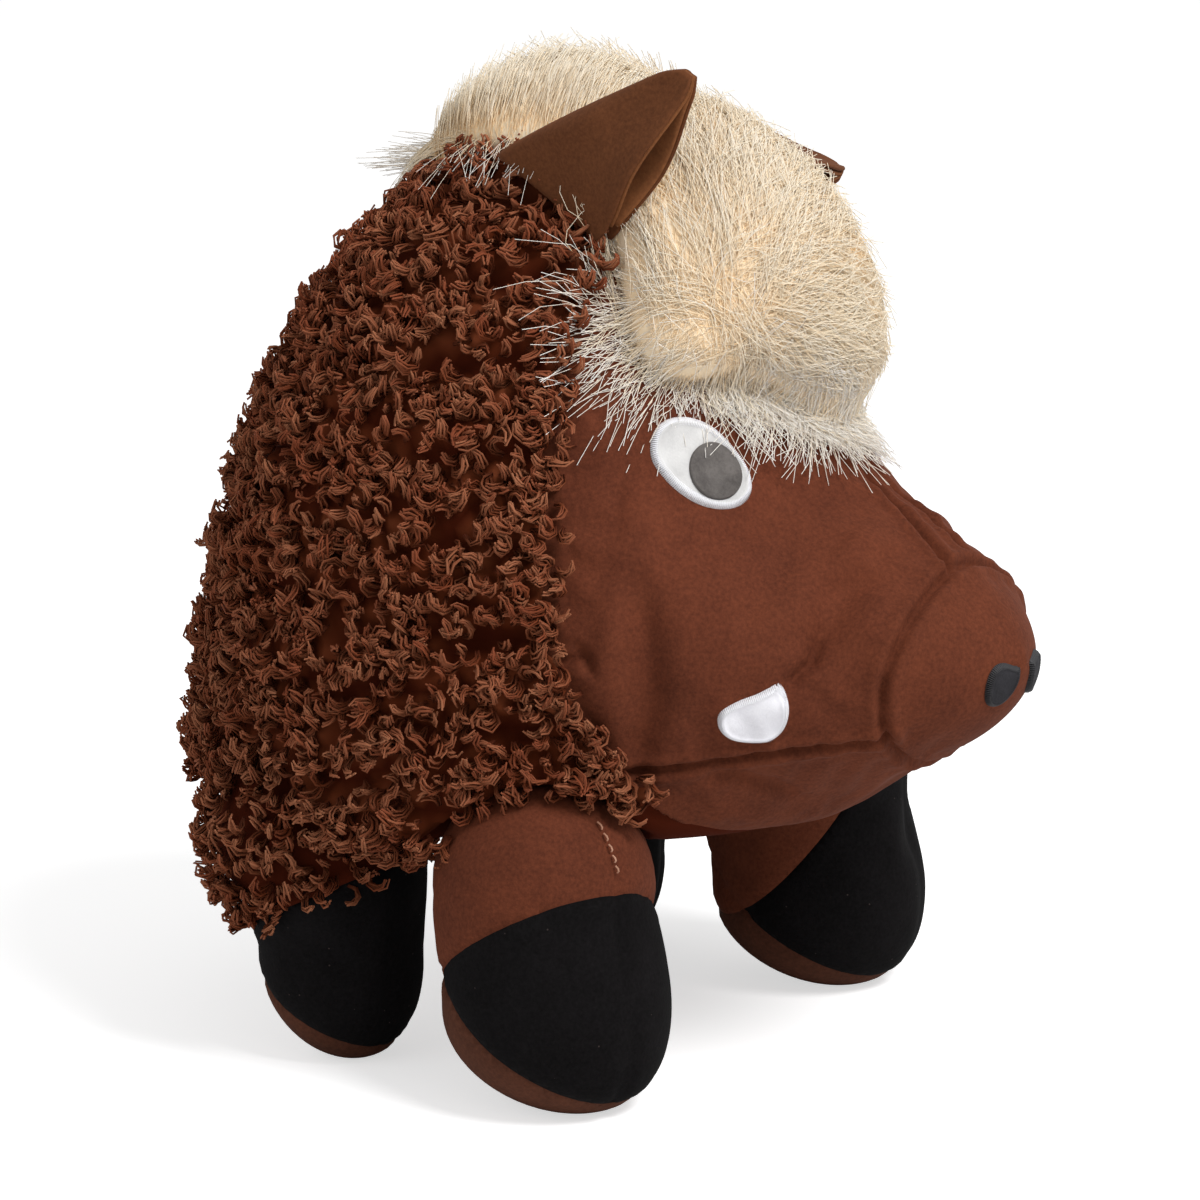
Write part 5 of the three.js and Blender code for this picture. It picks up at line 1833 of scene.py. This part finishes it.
@dataclass
class Ear:
    """A leaf of velour with a lining, folded lengthwise and open to the front."""

    side: Side
    droop: float
    x: float = 10.7
    y: float = 37.0
    rise: float = 1.5
    root_length: float = 40.0
    height: float = 50.0
    tip_width: float = 6.0
    pinch: float = 2.0
    half_gap: float = 6.0
    tip_half_gap: float = 0.7
    full_share: float = 0.42
    toe_out: float = 12.0
    pitch: float = 27.0
    cloth: float = 1.3
    layer_gap: float = 0.3
    skew: float = 22.0
    start: float = -2.0
    rows: int = 40
    bends: int = 10
    run: int = 12

    def axes(self) -> tuple[Array, Array, Array, Array]:
        """The ear's seat and its own axes.

        Returns:
            Seat, and unit vectors along its root, outwards and up its leaf.
        """
        s = self.side.value
        inside = np.array([[self.x, s * self.y, BODY.snout_z]])
        seat = BODY.cast(inside, np.array([[0.0, 0.0, 1.0]]))
        seat = seat + BODY.normals(seat) * self.rise
        yaw, pitch, droop = (radians(a) for a in (self.toe_out, self.pitch, -s * self.droop))
        level = cos(pitch)
        along = np.array([level * cos(yaw), s * level * sin(yaw), -sin(pitch)])
        out = np.array([-sin(yaw), s * cos(yaw), 0.0])
        up = s * np.cross(along, out)
        turned = [cos(droop) * v + sin(droop) * np.cross(along, v) for v in (out, up)]
        return seat[0], along, turned[0], turned[1]

    def section(self, share: float, offset: float) -> Array:
        """The folded leaf's line at a share of its height, from front edge round to front edge.

        Args:
            share: Share of the leaf's height.
            offset: Distance outside the leaf's middle line.

        Returns:
            Places along the root and outwards.
        """
        width = self.root_length + (self.tip_width - self.root_length) * max(share, 0.0) ** 1.15
        width *= 1 - 0.5 * max((share - 0.88) / 0.12, 0.0) ** 2
        if share < self.full_share:
            mix = float(smooth_step(share, 0.0, self.full_share))
            gap = self.pinch + mix * (self.half_gap - self.pinch)
        else:
            mix = float(smooth_step(share, self.full_share, 1.0))
            gap = self.half_gap + mix * (self.tip_half_gap - self.half_gap)
        front = self.skew * share + width / 2
        spine = self.skew * share - width / 2 + gap
        reach = max(gap + offset, 0.05)
        straight = np.linspace(front, spine, self.run, endpoint=False)
        dish = 1.0 - 0.22 * np.sin(pi * np.linspace(0.0, 1.0, self.run, endpoint=False))
        bend = np.linspace(pi / 2, 3 * pi / 2, self.bends)
        there = np.stack([straight, reach * dish], axis=1)
        round_spine = np.stack([spine + reach * np.cos(bend), reach * np.sin(bend)], axis=1)
        return np.vstack([there, round_spine, (there * np.array([1.0, -1.0]))[::-1]])

    def layer(self, name: str, inner: float, outer: float, start: float, finish: Finish) -> Piece:
        """One cloth of the leaf, with rounded edges.

        Args:
            name: The piece's name.
            inner: The cloth's inner side, from the leaf's middle line.
            outer: The cloth's outer side.
            start: Height above the root where it starts.
            finish: Its material.

        Returns:
            The piece.
        """
        seat, along, out, up = self.axes()
        middle, half = (inner + outer) / 2, (outer - inner) / 2
        rings = []
        for height in np.linspace(start, self.height, self.rows):
            share = height / self.height
            slim = sqrt(max(1.0 - max((share - 0.9) / 0.1, 0.0) ** 2, 0.12))
            a = self.section(share, (middle + half) * slim)
            b = self.section(share, (middle - half) * slim)[::-1]
            lips = [(a[-1] + b[0]) / 2 + [half * 0.9, 0.0], (b[-1] + a[0]) / 2 + [half * 0.9, 0.0]]
            line = np.vstack([a, lips[:1], b, lips[1:]])
            rings.append(seat + line[:, :1] * along + line[:, 1:] * out + height * up)
        columns = len(rings[0])
        faces = grid_faces(self.rows, columns, True)
        span = (columns - 2) // 2
        last = (self.rows - 1) * columns
        for base in (0, last):
            for place in range(span - 1):
                mirror = 2 * span - place
                faces.append((base + place, base + place + 1, base + mirror - 1, base + mirror))
            faces.append((base + span - 1, base + span, base + span + 1))
            faces.append((base + columns - 1, base, base + columns - 2))
        piece = make_piece(name, np.vstack(rings), faces, finish)
        face_outwards(piece)
        return piece

    def build(self, finishes: Finishes) -> None:
        """Make the ear's pieces.

        Args:
            finishes: The toy's materials.
        """
        body = f"ear_{self.side.word}"
        inner = -self.layer_gap - self.cloth
        outer = self.layer(f"{body}_leaf", 0.0, self.cloth, self.start, finishes.ear)
        lining = self.layer(f"{body}_inside", inner, -self.layer_gap, 3.0, finishes.lining)
        for piece, part, slot in ((outer, "outer", Slot.VELOUR), (lining, "lining", Slot.LINING)):
            settle(piece, body, slot, f"{body}_{part}")


# Felt patches


def bezier(points: Sequence[Pair], steps: int) -> Array:
    """A line along a chain of cubic curves.

    Args:
        points: Start, then two handles and an end per curve.
        steps: Points per curve.

    Returns:
        The line, without its last point.
    """
    corners = np.array(points)
    t = np.linspace(0.0, 1.0, steps, endpoint=False)[:, None]
    lines = []
    for first in range(0, len(corners) - 1, 3):
        a, b, c, d = corners[first : first + 4]
        lines.append((1 - t) ** 3 * a + 3 * t * (1 - t) ** 2 * b + 3 * t**2 * (1 - t) * c + t**3 * d)
    return np.vstack(lines)


def ellipse(x: float, y: float, long: float, short: float, steps: int = 96) -> Array:
    """An ellipse's outline."""
    turn = np.linspace(0.0, 2 * pi, steps, endpoint=False)
    return np.stack([x + long * np.cos(turn), y + short * np.sin(turn)], axis=1)


@dataclass
class Patch:
    """A felt patch sewn flat on the face."""

    name: str
    side: Side
    outline: Array
    seat: Array
    tilt: float
    lift: float
    thickness: float
    rim: float
    rim_width: float

    def axes(self) -> tuple[Array, Array, Array]:
        """The patch's own axes.

        Returns:
            Unit vectors forwards (or to the middle), upwards and out.
        """
        normal = BODY.normals(self.seat[None])[0]
        up = unit(np.array([0.0, 0.0, 1.0]) - normal * normal[2])
        forward = -self.side.value * np.cross(up, normal)
        turn = radians(self.tilt)
        ahead = cos(turn) * forward + sin(turn) * up
        return ahead, cos(turn) * up - sin(turn) * forward, normal

    def on_face(self, flat: Array, face: BVHTree) -> tuple[Array, Array]:
        """Lay flat places of the patch on the face.

        Args:
            flat: Places in the patch's plane.
            face: The finished face.

        Returns:
            Points on the face, and the way out of it.
        """
        ahead, up, normal = self.axes()
        points = self.seat + flat[:, :1] * ahead + flat[:, 1:] * up
        laid = []
        for point in points:
            hit = face.ray_cast(Vector(point + 25 * normal), Vector(-normal), 60.0)[0]
            laid.append(point if hit is None else np.array(hit))
        return np.array(laid), normal

    def build(self, face: BVHTree, finish: Finish, slot: Slot) -> None:
        """Make the patch.

        Args:
            face: The finished face.
            finish: Its material.
            slot: The record's slot.
        """
        middle = self.outline.mean(axis=0)
        size = norm(self.outline - middle, axis=1).mean()
        edge = self.rim_width / size
        rim = 1 - edge * np.array([0.8, 0.5, 0.25, 0.08, 0.0])
        shares = np.concatenate([[0.02], np.linspace(0.12, 1 - edge, 9), rim])
        flat = np.vstack([middle + share * (self.outline - middle) for share in shares])
        laid, normal = self.on_face(flat, face)
        into = np.clip((1 - shares) / edge, 0.0, 1.0)
        height = self.thickness * np.sqrt(1 - (1 - np.clip(into * 2.2, 0.0, 1.0)) ** 2)
        height = height + self.rim * np.sin(pi * np.clip(into, 0.0, 1.0)) * (shares > 1 - edge - 1e-6)
        grid = (len(shares), len(self.outline), 3)
        top = laid.reshape(grid) + (self.lift + height)[:, None, None] * normal
        piece = cushion(self.name, top, laid.reshape(grid) + (self.lift - 0.02) * normal, True, finish)
        settle(piece, "torso", slot, self.name.replace("_felt", ""))
        width, length = self.outline.max(axis=0) - self.outline.min(axis=0)
        area = 0.5 * sum(polygon.area for polygon in piece.data.polygons)
        flat_size = (float(width) * MM, float(length) * MM)
        area = min(area, flat_size[0] * flat_size[1])

    def stitches(self, face: BVHTree, pitch: float, depth: float) -> Strands:
        """Satin stitches across the patch's border.

        Args:
            face: The finished face.
            pitch: Distance between stitches.
            depth: How far a stitch reaches in.

        Returns:
            One short fibre per stitch.
        """
        closed = np.vstack([self.outline, self.outline[:1]])
        whole = lengths_along(closed)[-1]
        stops = np.linspace(0.0, whole, int(whole / pitch), endpoint=False)
        border = points_along(closed, stops)
        tangent = unit(points_along(closed, np.mod(stops + 0.3, whole)) - border)
        inward = np.stack([-tangent[:, 1], tangent[:, 0]], axis=1)
        inward *= np.sign(((self.outline.mean(axis=0) - border) * inward).sum(axis=1, keepdims=True))
        shares = np.array([-0.35, -0.1, 0.4, 0.85, 1.0])
        rise = np.array([-0.1, 0.55, 1.0, 0.7, 0.15])
        paths = []
        for share, height in zip(shares, rise):
            laid, normal = self.on_face(border + inward * depth * share, face)
            paths.append(laid + normal * (self.lift + height * (self.thickness + self.rim * 0.8)))
        count = len(stops)
        return Strands(np.stack(paths, axis=1), np.ones((count, len(shares))), np.full(count, 0.5))


@dataclass
class Features:
    """Eyes, tusks and nostrils on both sides."""

    eye: Pair = (42.5, 169.5)
    eye_radii: Pair = (14.6, 9.8)
    eye_tilt: float = -36.0
    pupil_radius: float = 7.7
    pupil_forward: float = 4.0
    tusk: Pair = (82.0, 106.6)
    tusk_half: Pair = (8.7, 8.2)
    nostril: Pair = (9.6, 111.3)
    nostril_half: Pair = (5.6, 5.4)
    stitch_pitch: float = 0.5
    stitch_radius: float = 0.26

    def tusk_outline(self) -> Array:
        """A rounded tusk with one pointed corner, at its upper front."""
        shape = [
            (0.67, 1.0), (1.1, 0.6), (1.15, -0.75), (0.35, -0.95), (-0.25, -1.08), (-1.0, -0.85),
            (-1.0, -0.1), (-1.0, 0.35), (-0.4, 0.35), (0.67, 1.0),
        ]
        return bezier(shape, 28) * np.array(self.tusk_half)

    def nostril_outline(self) -> Array:
        """A teardrop with its point to the middle of the nose."""
        shape = [
            (1.0, 0.7), (0.95, -0.3), (0.4, -1.0), (-0.2, -1.0), (-1.15, -1.0), (-1.15, 1.0),
            (-0.1, 1.0), (0.35, 1.0), (0.6, 0.7), (1.0, 0.7),
        ]
        return bezier(shape, 24) * np.array(self.nostril_half)

    def build(self, face: BVHTree, finishes: Finishes, maker: StrandMaker) -> None:
        """Make the patches and their stitched borders.

        Args:
            face: The finished face.
            finishes: The toy's materials.
            maker: Turns lines into fibres.
        """
        for side in Side:
            s = side.value
            eye, nose = (
                BODY.cast(np.array([[BODY.core_x, s * aside, up]]), np.array([[1.0, 0.0, 0.0]]))[0]
                for aside, up in (self.eye, self.nostril)
            )
            tusk = BODY.cast(np.array([[self.tusk[0], 0.0, self.tusk[1]]]), np.array([[0.0, s, 0.0]]))[0]
            oval = ellipse(0.0, 0.0, *self.eye_radii)
            disc = ellipse(self.pupil_forward, 0.0, self.pupil_radius, self.pupil_radius)
            fang, drop, tilt = self.tusk_outline(), self.nostril_outline(), self.eye_tilt
            patches = {}
            # Outline, seat, tilt, then lift, thickness, rim height and rim width
            for kind, shape, finish, slot in (
                ("eye_white", (oval, eye, tilt, 0.1, 1.0, 0.5, 1.7), finishes.eye_white, Slot.WHITE),
                ("eye_pupil", (disc, eye, tilt, 1.15, 0.8, 0.1, 0.8), finishes.pupil, Slot.DARK),
                ("tusk", (fang, tusk, 0.0, 0.1, 1.5, 0.3, 1.4), finishes.white, Slot.WHITE),
                ("nostril", (drop, nose, 0.0, 0.1, 1.0, 0.25, 1.1), finishes.dark, Slot.DARK),
            ):
                patches[kind] = Patch(f"{kind}_{side.word}_felt", side, *shape)
                patches[kind].build(face, finish, slot)
            for patch, name, depth, thread, slot in (
                (patches["eye_white"], "eye", 1.7, finishes.white_thread, Slot.WHITE),
                (patches["tusk"], "tusk", 1.2, finishes.white_thread, Slot.WHITE),
                (patches["nostril"], "nostril", 1.0, finishes.dark_thread, Slot.DARK),
            ):
                lines = patch.stitches(face, self.stitch_pitch, depth)
                piece = maker.make(f"{name}_border_{side.word}", lines, self.stitch_radius, thread)
                settle(piece, "torso", slot)


# Squeaker and studio


class Squeaker:
    """The squeaker inside, as its solids have it."""

    def build(self, finishes: Finishes) -> None:
        """Give the bulb and its reed plug their plastics.

        Args:
            finishes: The toy's materials.
        """
        for node, finish in (("squeaker_bulb", finishes.bulb), ("squeaker_reed_plug", finishes.reed)):
            solid = frame["nodes"][node]
            solid.data.materials.clear()
            solid.data.materials.append(finish)
            LOG.info("%s keeps its solid", node)


@dataclass
class Studio:
    """White floor, soft light from the upper right, and the photograph's viewpoint."""

    azimuth: float = 32.1
    elevation: float = 12.7
    distance: float = 1500.0
    target: Triple = (0.0, 0.0, 117.8)
    lens: float = 166.67
    sensor: float = 36.0
    floor_size: float = 6.0
    floor_glow: float = 0.6
    ambient: float = 0.4
    background: float = 1.1

    def back(self) -> Vector:
        """The direction from the toy to the camera."""
        a, e = radians(self.azimuth), radians(self.elevation)
        return Vector((sin(a) * cos(e), -cos(a) * cos(e), sin(e)))

    def camera(self) -> None:
        """Set up the camera."""
        data = bpy.data.cameras.new("viewpoint")
        data.sensor_width = self.sensor
        data.lens = self.lens
        data.clip_end = 20.0
        eye = linked("viewpoint", data)
        middle = Vector((np.array(self.target) + SHIFT) * MM)
        eye.location = middle + self.back() * self.distance * MM
        eye.rotation_euler = (-self.back()).to_track_quat("-Z", "Y").to_euler()
        bpy.context.scene.camera = eye

    def lamp(self, name: str, place: Triple, size: float, power: float) -> None:
        """Hang a soft lamp that faces the toy.

        Args:
            name: The lamp's name.
            place: Where it hangs, in metres: to the camera's right, towards it, and up.
            size: Its width in metres.
            power: Its power in watts.
        """
        a = radians(self.azimuth)
        right = Vector((cos(a), sin(a), 0.0))
        near = Vector((sin(a), -cos(a), 0.0))
        data = bpy.data.lights.new(name, "AREA")
        data.shape = "DISK"
        data.size = size
        data.energy = power
        lamp = linked(name, data)
        lamp.location = right * place[0] + near * place[1] + Vector((0.0, 0.0, place[2]))
        aim = Vector((0.0, 0.0, 0.12)) - lamp.location
        lamp.rotation_euler = aim.to_track_quat("-Z", "Y").to_euler()

    def floor(self) -> None:
        """Lay the white floor, which keeps the toy's shadow."""
        half = self.floor_size / 2
        mesh = bpy.data.meshes.new("studio_floor")
        corners = [(-half, -half, 0), (half, -half, 0), (half, half, 0), (-half, half, 0)]
        mesh.from_pydata(corners, [], [(0, 1, 2, 3)])
        ground = linked("studio_floor", mesh)
        paper = {"Base Color": (0.9, 0.9, 0.9, 1.0), "Roughness": 1.0, "Specular IOR Level": 0.0}
        material, tree, shader = new_material("white_paper", paper)
        view = add_node(tree, "ShaderNodeLightPath").outputs["Is Camera Ray"]
        seen = add_node(tree, "ShaderNodeMath", {"operation": "MULTIPLY"}, {0: view, 1: self.floor_glow})
        glow = add_node(tree, "ShaderNodeEmission", None, {"Strength": seen.outputs[0]})
        both = add_node(tree, "ShaderNodeAddShader", None, {0: shader.outputs[0], 1: glow.outputs[0]})
        tree.links.new(both.outputs[0], tree.nodes["Material Output"].inputs["Surface"])
        mesh.materials.append(material)

    def sky(self) -> None:
        """Give the room its even light and the view its white background."""
        world = bpy.data.worlds.new("white_room")
        world.use_nodes = True
        tree = world.node_tree
        rays = add_node(tree, "ShaderNodeLightPath")
        shown = rays.outputs["Is Camera Ray"]
        for kind in ("Is Glossy Ray", "Is Transmission Ray"):
            either = {0: shown, 1: rays.outputs[kind]}
            shown = add_node(tree, "ShaderNodeMath", {"operation": "MAXIMUM"}, either).outputs[0]
        levels = {"Value": shown, "To Min": self.ambient, "To Max": self.background}
        strength = add_node(tree, "ShaderNodeMapRange", None, levels)
        background = tree.nodes["Background"]
        background.inputs["Color"].default_value = (1.0, 1.0, 1.0, 1.0)
        tree.links.new(strength.outputs["Result"], background.inputs["Strength"])
        bpy.context.scene.world = world

    def build(self) -> None:
        """Set up camera, floor, background and lamps."""
        self.camera()
        self.floor()
        self.sky()
        self.lamp("key_lamp", (0.75, 0.75, 1.35), size=0.7, power=20.0)
        self.lamp("fill_lamp", (-1.2, 1.0, 0.9), size=1.2, power=2.0)
        bpy.context.scene.view_settings.view_transform = "Standard"


def main() -> None:
    """Dress the toy and set up its studio."""
    logging.basicConfig(level=logging.INFO, format="%(message)s")
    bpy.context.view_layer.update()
    Studio().build()
    finishes = Finishes()
    maker = StrandMaker()
    coat = CurlCoat()
    face = BodyCover().build(finishes, coat)
    for name, form in LEGS.items():
        for side in Side:
            twisted = name == "front" and side is Side.LEFT
            Leg(name, FRONT_LEFT_LEG if twisted else form, side).build(finishes, maker)
    Ear(Side.RIGHT, -5.0).build(finishes)
    Ear(Side.LEFT, 88.0).build(finishes)
    Features().build(face, finishes, maker)
    coat.build(finishes, maker)
    Mane().build(finishes, maker)
    Squeaker().build(finishes)
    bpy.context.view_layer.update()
    meshes = [piece.data for piece in bpy.data.objects if piece.type == "MESH"]
    triangles = [sum(len(face.vertices) - 2 for face in mesh.polygons) for mesh in meshes]
    LOG.info("%d triangles, most in one piece %d", sum(triangles), max(triangles))


if __name__ == "__main__":
    main()
